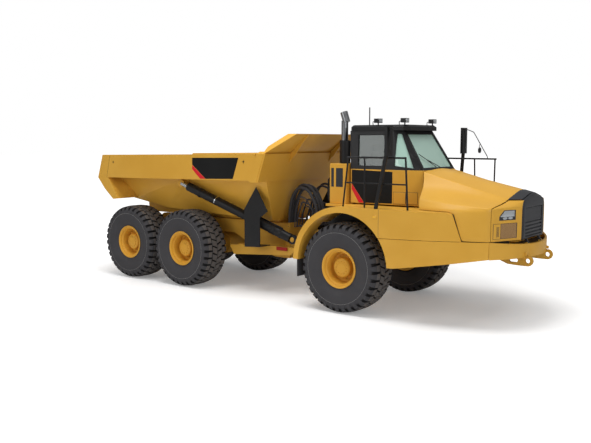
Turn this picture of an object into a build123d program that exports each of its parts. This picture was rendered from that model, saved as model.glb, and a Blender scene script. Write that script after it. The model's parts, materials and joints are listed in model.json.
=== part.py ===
"""Articulated dump truck with six wheels, hinged behind its cab.

Millimetres. +X is forward, +Y is the driver's left, +Z is up, and the origin is on the ground under the
middle of the truck's length. A station is a distance forward of the front axle, so it is negative behind it.
"""
import os
from math import cos, radians, sin

from build123d import *

os.makedirs("parts", exist_ok=True)

# ---------------------------------------------------------------- overall sizes
NOSE_REACH = 3640  # front axle to the tips of the tow eyes
TAIL_REACH = 7750  # front axle to the tail of the dump body
FRONT_AXLE_X = (TAIL_REACH - NOSE_REACH) / 2
MID_AXLE = -4657  # station of the middle axle
REAR_AXLE = -6600  # station of the rear axle
HALF_TRACK = 1345  # truck's middle plane to the middle of a tyre
FENDER_HALF = 1718  # half width over the front fenders
CLEAR = 6  # gap between pieces that move past each other
RUNNING = 0.05  # radial gap of a pin or shaft in its bore
SEAT = 0.3  # gap between pieces that rest on each other

# ---------------------------------------------------------------- joints
HITCH = -1600  # station of the steering pivot
HITCH_Z = 1070  # height of the oscillation axis
TIP_PIVOT = (-6950, 1600)  # station and height of the dump body's hinge
HOOD_PIVOT = (3440, 1600)  # station and height of the hood's hinge
DOOR_PIVOT = (-215, 878)  # station and distance from the middle of the door's hinge
HOIST_LOW = (-1720, 980, 1325)  # station, distance out and height of the hoist's lower ball
HOIST_HIGH = (-4840, 1420, 2510)  # the same of its upper eye
STEER_FRONT = (-400, 395)  # station and distance out of a steering cylinder's pin on the front frame
STEER_REAR = (-1720, 395)  # the same of its eye at the hitch


def side_plane(y):
    """The plane of a side view: local axes are station and height, and it faces the right side."""
    return Plane(origin=(FRONT_AXLE_X, y, 0), x_dir=(1, 0, 0), z_dir=(0, -1, 0))


def plan_plane(height):
    """The plane of a plan view: local axes are station and distance to the left."""
    return Plane(origin=(FRONT_AXLE_X, 0, height))


def cross_plane(station):
    """The plane of a cross section: local axes are distance to the left and height."""
    return Plane(origin=(FRONT_AXLE_X + station, 0, 0), x_dir=(0, 1, 0), z_dir=(1, 0, 0))


def outline(plane, points):
    """A closed outline of straight lines on a plane."""
    with BuildSketch(plane) as drawn:
        with BuildLine():
            Polyline(*points, close=True)
        make_face()
    return drawn.sketch


def side_plate(points, y_low, y_high, mode=Mode.ADD):
    """A plate drawn in side view (station, height), between two distances to the left."""
    extrude(outline(side_plane(y_high), points), amount=y_high - y_low, mode=mode)


def plan_plate(points, z_low, z_high, mode=Mode.ADD):
    """A plate drawn in plan (station, left), between two heights."""
    extrude(outline(plan_plane(z_low), points), amount=z_high - z_low, mode=mode)


def cross_plate(points, s_low, s_high, mode=Mode.ADD):
    """A plate drawn in cross section (left, height), between two stations."""
    extrude(outline(cross_plane(s_low), points), amount=s_high - s_low, mode=mode)


def block(stations, widths, heights, mode=Mode.ADD):
    """A plain block between two stations, two distances to the left and two heights."""
    middle = [(low + high) / 2 for low, high in (stations, widths, heights)]
    with Locations((FRONT_AXLE_X + middle[0], middle[1], middle[2])):
        Box(stations[1] - stations[0], widths[1] - widths[0], heights[1] - heights[0], mode=mode)


def cross_bar(station, height, radius, y_low, y_high, mode=Mode.ADD):
    """A round bar along Y."""
    with Locations(Plane(origin=(FRONT_AXLE_X + station, (y_low + y_high) / 2, height), z_dir=(0, 1, 0))):
        Cylinder(radius, y_high - y_low, mode=mode)


def post(station, y, radius, z_low, z_high, mode=Mode.ADD):
    """A round bar along Z."""
    with Locations((FRONT_AXLE_X + station, y, (z_low + z_high) / 2)):
        Cylinder(radius, z_high - z_low, mode=mode)


def long_bar(s_low, s_high, y, height, radius, mode=Mode.ADD):
    """A round bar along X."""
    with Locations(Plane(origin=(FRONT_AXLE_X + (s_low + s_high) / 2, y, height), z_dir=(1, 0, 0))):
        Cylinder(radius, s_high - s_low, mode=mode)


KNUCKLE = 1.12  # radius of a tube's bend over the tube's own


def tube(points, radius):
    """A bent round tube through points of (station, left, height), with a small knuckle at each bend."""
    path = [Vector(FRONT_AXLE_X + s, y, z) for s, y, z in points]
    for start, end in zip(path, path[1:]):
        with Locations(Plane(origin=(start + end) * 0.5, z_dir=end - start)):
            Cylinder(radius, (end - start).length)
    for corner in path[1:-1]:
        with Locations(corner):
            Sphere(KNUCKLE * radius)


# ---------------------------------------------------------------- wheels
TYRE_RADIUS = 937.5
TYRE_WIDTH = 750
TREAD_WIDTH = 600
BEAD_RADIUS = 360  # where the tyre sits on the rim
BEAD_HALF = 300  # half distance between the tyre's beads
FLANGE_RADIUS = 419
FLANGE_THICK = 18
HUB_RADIUS = 205
HUB_FACE = 212  # wheel's middle plane to the face of the hub
HUB_BORE_END = 40  # wheel's middle plane to the end of the bore
SPINDLE_RADIUS = 150
WHEELS = [  # name, station, side (-1 right, +1 left)
    (f"{place}_{hand}", station, side)
    for place, station in (("front", 0), ("mid", MID_AXLE), ("rear", REAR_AXLE))
    for hand, side in (("right", -1), ("left", 1))
]
TYRE_OUTSIDE = (  # distance from the tyre's middle plane, radius: from the crown to the bead
    (TREAD_WIDTH / 2 - 50, TYRE_RADIUS),
    (TREAD_WIDTH / 2 + 30, TYRE_RADIUS - 32),
    (TYRE_WIDTH / 2 - 4, TYRE_RADIUS - 110),
    (TYRE_WIDTH / 2, TYRE_RADIUS - 250),
    (TYRE_WIDTH / 2 - 24, TYRE_RADIUS - 390),
    (BEAD_HALF, FLANGE_RADIUS + 25),
    (BEAD_HALF, BEAD_RADIUS),
)
TYRE_INSIDE = (  # the same of its air space, from the bead to the crown
    (BEAD_HALF - 40, BEAD_RADIUS),
    (TYRE_WIDTH / 2 - 60, TYRE_RADIUS - 380),
    (TYRE_WIDTH / 2 - 55, TYRE_RADIUS - 200),
    (TREAD_WIDTH / 2 - 80, TYRE_RADIUS - 90),
)
RIM_SECTION = (  # distance out from the wheel's middle plane, radius
    (HUB_BORE_END, 0),
    (HUB_FACE, 0),
    (HUB_FACE, HUB_RADIUS - 95),
    (HUB_FACE - 8, HUB_RADIUS - 35),
    (HUB_FACE - 25, HUB_RADIUS - 12),
    (120, HUB_RADIUS),
    (120, BEAD_RADIUS - 55),
    (150, BEAD_RADIUS - 42),
    (240, BEAD_RADIUS - 30),
    (BEAD_HALF, BEAD_RADIUS - 18),
    (BEAD_HALF + FLANGE_THICK, FLANGE_RADIUS - 18),
    (BEAD_HALF + FLANGE_THICK, FLANGE_RADIUS),
    (BEAD_HALF, FLANGE_RADIUS),
    (BEAD_HALF, BEAD_RADIUS),
    (-BEAD_HALF, BEAD_RADIUS),
    (-BEAD_HALF, FLANGE_RADIUS),
    (-BEAD_HALF - FLANGE_THICK, FLANGE_RADIUS),
    (-BEAD_HALF - FLANGE_THICK, BEAD_RADIUS - 5),
    (-BEAD_HALF + 10, BEAD_RADIUS - 25),
    (50, BEAD_RADIUS - 25),
    (80, BEAD_RADIUS - 55),
    (80, HUB_RADIUS + 5),
    (-60, HUB_RADIUS + 5),
    (-60, SPINDLE_RADIUS + RUNNING),
    (HUB_BORE_END, SPINDLE_RADIUS + RUNNING),
)

for name, station, side in WHEELS:
    centre = (FRONT_AXLE_X + station, side * HALF_TRACK, TYRE_RADIUS)
    wheel_plane = Plane(origin=centre, x_dir=(0, side, 0), z_dir=(side, 0, 0))
    wheel_axis = Axis(centre, (0, 1, 0))
    with BuildPart() as tyre:
        outside = [(-out, r) for out, r in reversed(TYRE_OUTSIDE)] + list(TYRE_OUTSIDE)
        inside = list(TYRE_INSIDE) + [(-out, r) for out, r in reversed(TYRE_INSIDE)]
        add(outline(wheel_plane, outside + inside))
        revolve(axis=wheel_axis)
    tyre.part.label = f"tyre_{name}"
    export_step(tyre.part, f"parts/tyre_{name}.step")

    with BuildPart() as rim:
        add(outline(wheel_plane, RIM_SECTION))
        revolve(axis=wheel_axis)
    rim.part.label = f"rim_{name}"
    export_step(rim.part, f"parts/rim_{name}.step")

# ---------------------------------------------------------------- axles
AXLE_TUBE = 150
BRAKE_RADIUS = 240
BRAKE_SPAN = (930, 1275)  # distance out of a brake housing's two faces
DIFF_RADIUS = 290
DIFF_HALF = 210
SPINDLE_END = HALF_TRACK + HUB_BORE_END - 1


def axle(station):
    """An axle housing: the tube, the differential's bulge, and a brake housing and spindle at each end."""
    cross_bar(station, TYRE_RADIUS, AXLE_TUBE, -BRAKE_SPAN[1], BRAKE_SPAN[1])
    cross_bar(station, TYRE_RADIUS, SPINDLE_RADIUS, -SPINDLE_END, SPINDLE_END)
    cross_bar(station, TYRE_RADIUS, DIFF_RADIUS, -DIFF_HALF, DIFF_HALF)
    for side in (-1, 1):
        low, high = sorted((side * BRAKE_SPAN[0], side * BRAKE_SPAN[1]))
        cross_bar(station, TYRE_RADIUS, BRAKE_RADIUS, low, high)


with BuildPart() as front_axle:
    axle(0)
front_axle.part.label = "front_axle"
export_step(front_axle.part, "parts/front_axle.step")

with BuildPart() as rear_axles:
    for station in (MID_AXLE, REAR_AXLE):
        axle(station)
rear_axles.part.label = "rear_axles"
export_step(rear_axles.part, "parts/rear_axles.step")

# ---------------------------------------------------------------- front frame
RAIL_INNER = 480
RAIL_OUTER = 600
FRAME_REAR = -850
FRAME_FRONT = 3050
RAIL_TOP = 1480
RAIL_SIDE = (  # station, height
    (FRAME_REAR, 1200),
    (700, 1200),
    (1000, 1280),
    (FRAME_FRONT, 1280),
    (FRAME_FRONT, RAIL_TOP),
    (FRAME_REAR, RAIL_TOP),
)
EAR_HEIGHTS = ((700, 800), (1345, 1445))  # lower and upper hitch ears
EAR_RADIUS = 190
HITCH_PIN = 70
BULKHEAD_HALF = 230
STEER_EYE = (1025, 1115)  # heights of a steering cylinder's eye
STEER_PIN = 40
TOW_OUT = 529  # middle plane to the middle of a tow plate
TOW_THICK = 50
TOW_EYE_RADIUS = 45
TOW_EYE_RIM = 101  # radius of the plate's rounded tip round the eye
TOW_EYE = (NOSE_REACH - TOW_EYE_RIM, 1305)  # station and height
TOW_ROOT = FRAME_FRONT - 100  # station where a tow plate starts
TOW_RUN = TOW_EYE[0] - TOW_ROOT
TOW_SHARES = (200 / 589, 400 / 589, 150 / 589, 315 / 589)  # knees below, belly and slot along the run
TOW_SLOT = (TOW_ROOT + TOW_RUN * TOW_SHARES[3], 1300)
CROSS_MEMBERS = (700, 1350, 3000)  # stations of the frame's cross members

with BuildPart() as front_frame:
    for side in (-1, 1):
        low, high = sorted((side * RAIL_INNER, side * RAIL_OUTER))
        side_plate(RAIL_SIDE, low, high)
    for station in CROSS_MEMBERS:
        block((station - 50, station + 50), (-RAIL_OUTER, RAIL_OUTER), (1300, RAIL_TOP - 20))
    block((FRAME_REAR - 180, FRAME_REAR), (-BULKHEAD_HALF, BULKHEAD_HALF), (EAR_HEIGHTS[0][0], RAIL_TOP - 20))
    block((FRAME_REAR - 20, FRAME_REAR + 80), (-RAIL_OUTER, RAIL_OUTER), (1200, RAIL_TOP))
    for low, high in EAR_HEIGHTS:
        ear = (
            (FRAME_REAR - 100, -BULKHEAD_HALF),
            (HITCH, -EAR_RADIUS),
            (HITCH, EAR_RADIUS),
            (FRAME_REAR - 100, BULKHEAD_HALF),
        )
        plan_plate(ear, low, high)
        post(HITCH, 0, EAR_RADIUS, low, high)
    post(HITCH, 0, HITCH_PIN + RUNNING, 0, 3 * HITCH_Z, mode=Mode.SUBTRACT)
    # shelves above and below the steering cylinders' front eyes, with the pins between them
    for low, high in ((STEER_EYE[0] - 46, STEER_EYE[0] - CLEAR), (STEER_EYE[1] + CLEAR, STEER_EYE[1] + 46)):
        block((STEER_FRONT[0] - 60, STEER_FRONT[0] + 90), (-RAIL_OUTER, RAIL_OUTER), (low, high))
    for side in (-1, 1):
        post(STEER_FRONT[0], side * STEER_FRONT[1], STEER_PIN, STEER_EYE[0] - 46, STEER_EYE[1] + 46)
        low, high = sorted((side * RAIL_INNER, side * RAIL_OUTER))
        block((STEER_FRONT[0] + 10, STEER_FRONT[0] + 90), (low, high), (STEER_EYE[0] - 46, 1250))
        # seats of the front axle's suspension
        block((-90, 90), (low, high), (TYRE_RADIUS + AXLE_TUBE - 60, 1220))
    cross_bar(0, TYRE_RADIUS, AXLE_TUBE + SEAT, -RAIL_OUTER - 1, RAIL_OUTER + 1, mode=Mode.SUBTRACT)
    # tow plates under the bumper, each with a round eye and a long slot
    for side in (-1, 1):
        low, high = side * TOW_OUT - TOW_THICK / 2, side * TOW_OUT + TOW_THICK / 2
        side_plate(
            (
                (TOW_ROOT, RAIL_TOP - 60),
                (TOW_ROOT, 1290),
                (TOW_ROOT + TOW_RUN * TOW_SHARES[0], 1215),
                (TOW_ROOT + TOW_RUN * TOW_SHARES[1], 1205),
                (TOW_EYE[0], TOW_EYE[1] - TOW_EYE_RADIUS - 55),
                (TOW_EYE[0], TOW_EYE[1] + TOW_EYE_RADIUS + 55),
                (TOW_ROOT + TOW_RUN * TOW_SHARES[1], 1395),
                (TOW_ROOT + TOW_RUN * TOW_SHARES[2], 1395),
            ),
            low,
            high,
        )
        cross_bar(*TOW_EYE, TOW_EYE_RIM, low, high)
        cross_bar(*TOW_EYE, TOW_EYE_RADIUS, low, high, mode=Mode.SUBTRACT)
        with BuildSketch(side_plane(high)):
            with Locations(TOW_SLOT):
                SlotOverall(170, 75)
        extrude(amount=TOW_THICK, mode=Mode.SUBTRACT)
front_frame.part.label = "front_frame"
export_step(front_frame.part, "parts/front_frame.step")

# ---------------------------------------------------------------- engine
ENGINE_SPAN = (1460, 2800)
ENGINE_HALF = 400
ENGINE_HEIGHTS = (1300, 2250)
ENGINE_MOUNTS = (1620, 2640)

with BuildPart() as engine_block:
    block(ENGINE_SPAN, (-ENGINE_HALF, ENGINE_HALF), ENGINE_HEIGHTS)
    for station in ENGINE_MOUNTS:
        block((station - 60, station + 60), (-RAIL_OUTER, RAIL_OUTER), (RAIL_TOP, RAIL_TOP + 60))
engine_block.part.label = "engine_block"
export_step(engine_block.part, "parts/engine_block.step")

# ---------------------------------------------------------------- fenders, skirts and bumper
ARCH_CENTRE = (80, 1000)  # station and height
ARCH_INNER = 1095
ARCH_OUTER = 1220
ARCH_FOOT = 1040  # height of the rear end of the arch
FENDER_INNER = 1020  # distance out of the wheel housing's inner edge
FENDER_TOP = 2220
FENDER_WALL = 25
TAPER_START = 1000  # station where the sides start to curve inwards
CORNER = (3100, 1312)  # station and half width of the nose's corner
SEAM_Z = 1650  # height of the seam between fender and skirt at the arch
SEAM_CORNER_Z = 1695  # the same at the nose's corner
SEAM_GAP = 6
SKIRT_FRONT_Z = 1375
HOOD_LUG = (300, 340)  # distances out of the hinge lugs on the hood
HOOD_PIN = 18
HINGE_BOSS = 34  # radius of the hood hinge's bosses
HINGE_EAR = 30  # thickness of its uprights
HINGE_SHELF = (1420, 1470)  # heights of the shelf that carries them
BUMPER_NOSE = 3580  # station of the bumper's middle
BUMPER_DEEP = 45
BUMPER_TOP = 1612
BUMPER_BOTTOM = 1370
HOOD_SEAM = ((2330, 2235), (2450, 2190), (2620, 1690))  # seam between fender and hood: station, height


FLANK_RUN = CORNER[0] - TAPER_START
FLANK_DROP = FENDER_HALF - CORNER[1]
FLANK_RADIUS = (FLANK_RUN**2 + FLANK_DROP**2) / (2 * FLANK_DROP)


def flank_out(station, inset=0):
    """Half width of the side's plan outline: straight to the taper, then an arc in to the nose's corner."""
    past = max(0, station - TAPER_START)
    return FENDER_HALF - FLANK_RADIUS + (FLANK_RADIUS**2 - past**2) ** 0.5 - inset


def flank_body(inset, inner, z_low, z_high):
    """The right side's body between a distance out and the plan outline set inwards."""
    stations = (TAPER_START, (TAPER_START + CORNER[0]) / 2, CORNER[0])
    curve = [(s, -flank_out(s, inset)) for s in stations]
    with BuildSketch(plan_plane(z_low)) as plan:
        with BuildLine():
            ThreePointArc(*curve)
            Polyline(curve[2], (CORNER[0], -inner), (-1400, -inner), (-1400, curve[0][1]), curve[0])
        make_face()
    return extrude(plan.sketch, amount=z_high - z_low, mode=Mode.PRIVATE)


def arch_point(radius, degrees):
    """A point of the wheel arch, by its angle from straight forward."""
    return (ARCH_CENTRE[0] + radius * cos(radians(degrees)), ARCH_CENTRE[1] + radius * sin(radians(degrees)))


SEAM_ANGLE = 36.5  # where the fender's seam meets the arch
FOOT_ANGLE = 178
SKIRT_ANGLE = 4  # where the skirt's lower edge meets the arch


def fender_side(wall, overrun):
    """The fender in side view set inwards by its wall, and run past its open foot and seams."""
    inner, outer = ARCH_INNER + wall, ARCH_OUTER - wall
    foot, seam_angle = FOOT_ANGLE + overrun, SEAM_ANGLE - overrun
    with BuildSketch(side_plane(0)) as drawn:
        with BuildLine():
            top = arch_point(outer, 90)
            ThreePointArc(arch_point(outer, foot), arch_point(outer, 140), top)
            Polyline(
                top,
                (HOOD_SEAM[0][0] + 50 * overrun, top[1]),
                (HOOD_SEAM[1][0] + 50 * overrun, HOOD_SEAM[1][1]),
                (HOOD_SEAM[2][0] + 50 * overrun, HOOD_SEAM[2][1] - 20 * overrun),
                arch_point(inner, seam_angle),
            )
            ThreePointArc(*(arch_point(inner, angle) for angle in (seam_angle, 110, foot)))
            Line(arch_point(inner, foot), arch_point(outer, foot))
        make_face()
    return drawn.sketch


def skirt_side(wall, overrun):
    """The skirt in side view: below the fender and hood, from the arch to the nose's corner."""
    inner = ARCH_INNER + wall
    first = arch_point(inner, SEAM_ANGLE - 0.6 + overrun)
    last = arch_point(inner, SKIRT_ANGLE - overrun)
    front, past = CORNER[0] - SEAM_GAP + 50 * overrun, 20 * overrun
    with BuildSketch(side_plane(0)) as drawn:
        with BuildLine():
            ThreePointArc(last, arch_point(inner, SEAM_ANGLE / 2), first)
            Polyline(
                first,
                (HOOD_SEAM[2][0], HOOD_SEAM[2][1] - SEAM_GAP + past),
                (front, SEAM_CORNER_Z + past),
                (front, SKIRT_FRONT_Z - past),
                (2450, 1262 - past),
                (1300, last[1]),
                last,
            )
        make_face()
    return drawn.sketch


def side_shell(drawing):
    """A right side panel: its side view's outer form less the same set inwards, curved in plan to the nose."""
    with BuildPart(mode=Mode.PRIVATE) as outer:
        extrude(drawing(0, 0), amount=2 * FENDER_HALF)
        add(flank_body(0, FENDER_INNER, 500, 2600), mode=Mode.INTERSECT)
    with BuildPart(mode=Mode.PRIVATE) as hollow:
        extrude(drawing(FENDER_WALL, 4), amount=2 * FENDER_HALF)
        add(flank_body(FENDER_WALL, RAIL_OUTER, 400, 2700), mode=Mode.INTERSECT)
    return outer.part - hollow.part


FENDER_NOTCH = (-640, 1330)  # station and distance out of the cut that clears the hoists when the truck bends

with BuildPart() as fenders:
    add(side_shell(fender_side))
    block(
        (-1300, FENDER_NOTCH[0]),
        (-FENDER_NOTCH[1], -FENDER_INNER + 1),
        (900, FENDER_TOP + 1),
        mode=Mode.SUBTRACT,
    )
    mirror(about=Plane.XZ)
fenders.part.label = "fenders"
export_step(fenders.part, "parts/fenders.step")

with BuildPart() as skirts:
    add(side_shell(skirt_side))
    for station in (1500, 2900):
        block(
            (station - 40, station + 40),
            (-flank_out(station, 15), -RAIL_OUTER - SEAT),
            (RAIL_TOP - 80, RAIL_TOP - 20),
        )
    mirror(about=Plane.XZ)
skirts.part.label = "skirts"
export_step(skirts.part, "parts/skirts.step")


def bumper_arc(inset):
    """The bumper's plan outline: three points of an arc from the right corner round the nose to the left."""
    return (CORNER[0], -CORNER[1] + inset), (BUMPER_NOSE - inset, 0), (CORNER[0], CORNER[1] - inset)


with BuildPart() as bumper:
    with BuildSketch(plan_plane(BUMPER_BOTTOM)):
        with BuildLine():
            front, back = bumper_arc(0), bumper_arc(BUMPER_DEEP)
            ThreePointArc(*front)
            Line(front[2], back[2])
            ThreePointArc(*reversed(back))
            Line(back[0], front[0])
        make_face()
    extrude(amount=SEAM_CORNER_Z - BUMPER_BOTTOM)
    slope = (
        (CORNER[0] - 100, 3 * BUMPER_BOTTOM),
        (CORNER[0] - 100, SEAM_CORNER_Z + 1),
        (CORNER[0], SEAM_CORNER_Z),
        (BUMPER_NOSE + 1, BUMPER_TOP),
        (BUMPER_NOSE + 1, 3 * BUMPER_BOTTOM),
    )
    side_plate(slope, -FENDER_HALF, FENDER_HALF, mode=Mode.SUBTRACT)
    # brackets back to the ends of the frame rails
    for side in (-1, 1):
        low, high = sorted((side * (RAIL_INNER + 90), side * RAIL_OUTER))
        reach = max(BUMPER_NOSE - BUMPER_DEEP, HOOD_PIVOT[0] + HINGE_BOSS)
        block((FRAME_FRONT + SEAT, reach), (low, high), (HINGE_SHELF[0] - 10, HINGE_SHELF[1]))
        # upright and pin of the hood's hinge
        hinge_span = (HOOD_PIVOT[0] - HINGE_BOSS, HOOD_PIVOT[0] + HINGE_BOSS)
        low, high = sorted((side * (HOOD_LUG[1] + CLEAR), side * RAIL_OUTER))
        block(hinge_span, (low, high), HINGE_SHELF)
        low, high = sorted((side * (HOOD_LUG[1] + CLEAR), side * (HOOD_LUG[1] + CLEAR + HINGE_EAR)))
        block(hinge_span, (low, high), (HINGE_SHELF[0], HOOD_PIVOT[1]))
        cross_bar(*HOOD_PIVOT, HINGE_BOSS, low, high)
        cross_bar(*HOOD_PIVOT, HOOD_PIN, *sorted((side * (HOOD_LUG[0] - 10), side * (HOOD_LUG[1] + 10))))
        low, high = side * TOW_OUT - TOW_THICK, side * TOW_OUT + TOW_THICK
        block((CORNER[0], NOSE_REACH), (low, high), (BUMPER_BOTTOM, 1412), mode=Mode.SUBTRACT)
bumper.part.label = "bumper"
export_step(bumper.part, "parts/bumper.step")

# ---------------------------------------------------------------- hood, nose and grille
HOOD_REAR = 1420
HOOD_REAR_FOOT = 1690  # station where the hood's rear edge comes down to the fender
HOOD_WALL = 14
HOOD_BASE = SEAM_CORNER_Z + 8  # lower edge of the hood's sides
NOSE_FRONT = 3430
GRILLE_HALF = 560
CAP_START = 3180  # station where the black cap starts
CAP_BASE = 2445  # height of the cap's lower edge
HOOD_SECTIONS = (  # station, crown height, crease (out, height), shoulder (out, height), side out, foot out
    (HOOD_REAR, 2975, (720, 2920), (1190, 2430), 1330, 1400),
    (2470, 2769, (708, 2640), (1400, 2360), 1508, 1520),
    (CORNER[0], 2645, (700, 2470), (1295, 2310), 1308, CORNER[1] - 2),
    (NOSE_FRONT, 2560, (530, 2425), (545, 2330), 556, GRILLE_HALF),
)
SIDE_HEIGHT = 2240  # height where the hood's side is measured


def hood_solid(inset, base):
    """The hood's and nose's outer form, or the same set inwards, as a chain of straight lofts."""
    faces = []
    for station, crown, crease, shoulder, side_out, foot_out in HOOD_SECTIONS:
        half = (
            (crease[0] - inset, crease[1] - inset),
            (shoulder[0] - inset, shoulder[1] - inset),
            (side_out - inset, SIDE_HEIGHT - inset),
            (foot_out - inset, base),
        )
        ring = [(0, crown - inset)] + list(half) + [(-out, z) for out, z in reversed(half)]
        faces.append(outline(cross_plane(station), ring))
    return [loft([start, end], ruled=True, mode=Mode.PRIVATE) for start, end in zip(faces, faces[1:])]


def grown(points, amount):
    """An outline set outwards by an amount, for a gap round it."""
    middle_s = sum(s for s, _ in points) / len(points)
    middle_z = sum(z for _, z in points) / len(points)
    return [
        (s + (amount if s > middle_s else -amount), z + (amount if z > middle_z else -amount)) for s, z in points
    ]


NOSE_EDGE = (  # the nose panel in side view: station, height
    (CORNER[0] + SEAM_GAP, HOOD_BASE),
    (CORNER[0] + SEAM_GAP, 2305),
    (CAP_START + 20, CAP_BASE - SEAM_GAP),
    (NOSE_FRONT + 50, CAP_BASE - SEAM_GAP),
    (NOSE_FRONT + 50, BUMPER_TOP + 30),
)
HOOD_EDGE = (  # the hood panel in side view
    (HOOD_REAR_FOOT, FENDER_TOP + SEAM_GAP),
    (HOOD_REAR, 2920),
    (HOOD_REAR, 3100),
    (CAP_START, 3100),
    (CAP_START, CAP_BASE),
    (CORNER[0], 2312),
    (CORNER[0], HOOD_BASE),
    (HOOD_SEAM[2][0] + 8, HOOD_BASE),
    (HOOD_SEAM[1][0] + 8, HOOD_SEAM[1][1]),
    (HOOD_SEAM[0][0] + 8, FENDER_TOP + SEAM_GAP),
)


def hood_skin(edge, outset, inset):
    """The part of the hood's form inside a side view outline, as a shell."""
    for piece in hood_solid(-outset, 1600):
        add(piece)
    for piece in hood_solid(inset, 1500):
        add(piece, mode=Mode.SUBTRACT)
    side_plate(edge, -FENDER_HALF, FENDER_HALF, mode=Mode.INTERSECT)


LAMP_EDGE = ((3205, 2100), (3205, 2165), (3250, 2275), (3343, 2255), (3343, 2100))  # headlamp in side view
LAMP_GAP = 3
LAMP_PROUD = 4
LAMP_DEEP = 40

with BuildPart() as hood_shell:
    hood_skin(HOOD_EDGE, 0, HOOD_WALL)
hood_shell.part.label = "hood_shell"
export_step(hood_shell.part, "parts/hood_shell.step")

with BuildPart() as nose_panel:
    hood_skin(NOSE_EDGE, 0, HOOD_WALL)
    block((NOSE_FRONT - 120, NOSE_FRONT + 60), (-GRILLE_HALF + 20, GRILLE_HALF - 20), (1500, 2700), mode=Mode.SUBTRACT)
    side_plate(grown(LAMP_EDGE, LAMP_GAP), -FENDER_HALF, FENDER_HALF, mode=Mode.SUBTRACT)
nose_panel.part.label = "nose_panel"
export_step(nose_panel.part, "parts/nose_panel.step")

with BuildPart() as headlamps:
    hood_skin(LAMP_EDGE, LAMP_PROUD, LAMP_DEEP)
    # flange that seats each lamp on the panel's inner face
    hood_skin(grown(LAMP_EDGE, 5 * LAMP_GAP), -HOOD_WALL - SEAT, LAMP_DEEP)
headlamps.part.label = "headlamps"
export_step(headlamps.part, "parts/headlamps.step")

GRILLE_BACK = NOSE_FRONT - 40
GRILLE_BASE = 1680
GRILLE_OPENING = (1735, 2300)
GRILLE_BLANK = (2015, 2285)  # heights of the blank panel above the slats
GRILLE_SLATS = 4
SLAT_PITCH = 68
SLAT_GAP = 14
CAP_EDGE = (
    (CAP_START + SEAT, CAP_BASE),
    (CAP_START + SEAT, 3100),
    (NOSE_FRONT + 60, 3100),
    (NOSE_FRONT + 60, CAP_BASE),
)

with BuildPart() as grille:
    hood_skin(CAP_EDGE, 10, HOOD_WALL)
    face = ((0, 2552), (525, 2415), (GRILLE_HALF - 20.3, 2330), (GRILLE_HALF - 20.3, GRILLE_BASE))
    cross_plate(face + tuple((-y, z) for y, z in reversed(face)), GRILLE_BACK, NOSE_FRONT + 10)
    opening = GRILLE_HALF - 130
    block((NOSE_FRONT - 15, NOSE_FRONT + 30), (-opening, opening), GRILLE_OPENING, mode=Mode.SUBTRACT)
    block((NOSE_FRONT - 20, NOSE_FRONT), (-opening - 5, opening + 5), GRILLE_BLANK)
    for level in range(GRILLE_SLATS):
        low = GRILLE_OPENING[0] + SLAT_GAP + SLAT_PITCH * level
        block((NOSE_FRONT - 20, NOSE_FRONT + 5), (-opening - 5, opening + 5), (low, low + SLAT_PITCH - SLAT_GAP))
    for side in (-1, 1):
        low, high = sorted((side * HOOD_LUG[0], side * HOOD_LUG[1]))
        lug = (
            (HOOD_PIVOT[0] + HINGE_BOSS, HOOD_PIVOT[1]),
            (HOOD_PIVOT[0] - HINGE_BOSS, HOOD_PIVOT[1]),
            (GRILLE_BACK + 5, GRILLE_BASE + 5),
            (GRILLE_BACK + 5, GRILLE_BASE + 120),
            (NOSE_FRONT, GRILLE_BASE + 5),
        )
        side_plate(lug, low, high)
        cross_bar(*HOOD_PIVOT, HINGE_BOSS, low, high)
        cross_bar(*HOOD_PIVOT, HOOD_PIN + RUNNING, low, high, mode=Mode.SUBTRACT)
grille.part.label = "grille"
export_step(grille.part, "parts/grille.step")

# ---------------------------------------------------------------- platform under the cab
PLATFORM_Z = (2140, FENDER_TOP - FENDER_WALL - SEAT)
PLATFORM_ARMS = (110, 1340)  # stations of the arms out to the fenders
PEDESTALS = (-700, 300, 1200)
CAB_FLOOR = 2230
SPLASH_PLATE = (935, 950)  # distances out of the plates that hang inside the front wheels
SPLASH_SPAN = (-450, 1380)

with BuildPart() as platform:
    block((-800, 1400), (-FENDER_INNER + 20, FENDER_INNER - 20), PLATFORM_Z)
    for station in PLATFORM_ARMS:
        block((station - 50, station + 50), (-1600, 1600), PLATFORM_Z)
    for station in PEDESTALS:
        for side in (-1, 1):
            low, high = sorted((side * RAIL_INNER, side * RAIL_OUTER))
            block((station - 60, station + 60), (low, high), (RAIL_TOP + SEAT, PLATFORM_Z[0] + 10))
    for station in (-150, 1250):
        for y in (-620, 620):
            block((station - 60, station + 60), (y - 60, y + 60), (PLATFORM_Z[1] - 5, CAB_FLOOR - SEAT))
    for side in (-1, 1):
        low, high = sorted((side * SPLASH_PLATE[0], side * SPLASH_PLATE[1]))
        block(SPLASH_SPAN, (low, high), (RAIL_TOP + 20, PLATFORM_Z[0] + 10))
platform.part.label = "platform"
export_step(platform.part, "parts/platform.step")

# ---------------------------------------------------------------- cab
CAB_WAIST = 2950
CAB_HEAD = 3760
CAB_WALL = 50
FLOOR_PLATE = 40
CAB_LOW = (  # plan of the cab's base: station, half width
    (-270, 820),
    (900, 820),
    (1410, 720),
)
CAB_MID = ((-285, 800), (900, 800), (1400, 705))  # plan of the upper frame at the waist
CAB_TOP = ((-370, 700), (700, 700), (895, 615))  # the same at its head
DOOR = ((-200, 2300), (-200, 3660), (570, 3660), (690, 2980), (690, 2300))  # station, height
DOOR_SWING_GAP = 8
SIDE_WINDOW = ((-110, 3030), (-150, 3670), (520, 3670), (520, 3030))
FRONT_WINDOW = ((775, 3035), (775, 3690), (865, 3690), (1195, 2990))
WINDSCREEN = ((-620, 3000), (-540, 3680), (540, 3680), (620, 3000))  # distance out, height
WINDSCREEN_SPAN = (650, 1500)  # stations that hold the windscreen
REAR_WINDOW = ((-660, 3030), (-590, 3660), (590, 3660), (660, 3030))
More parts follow.
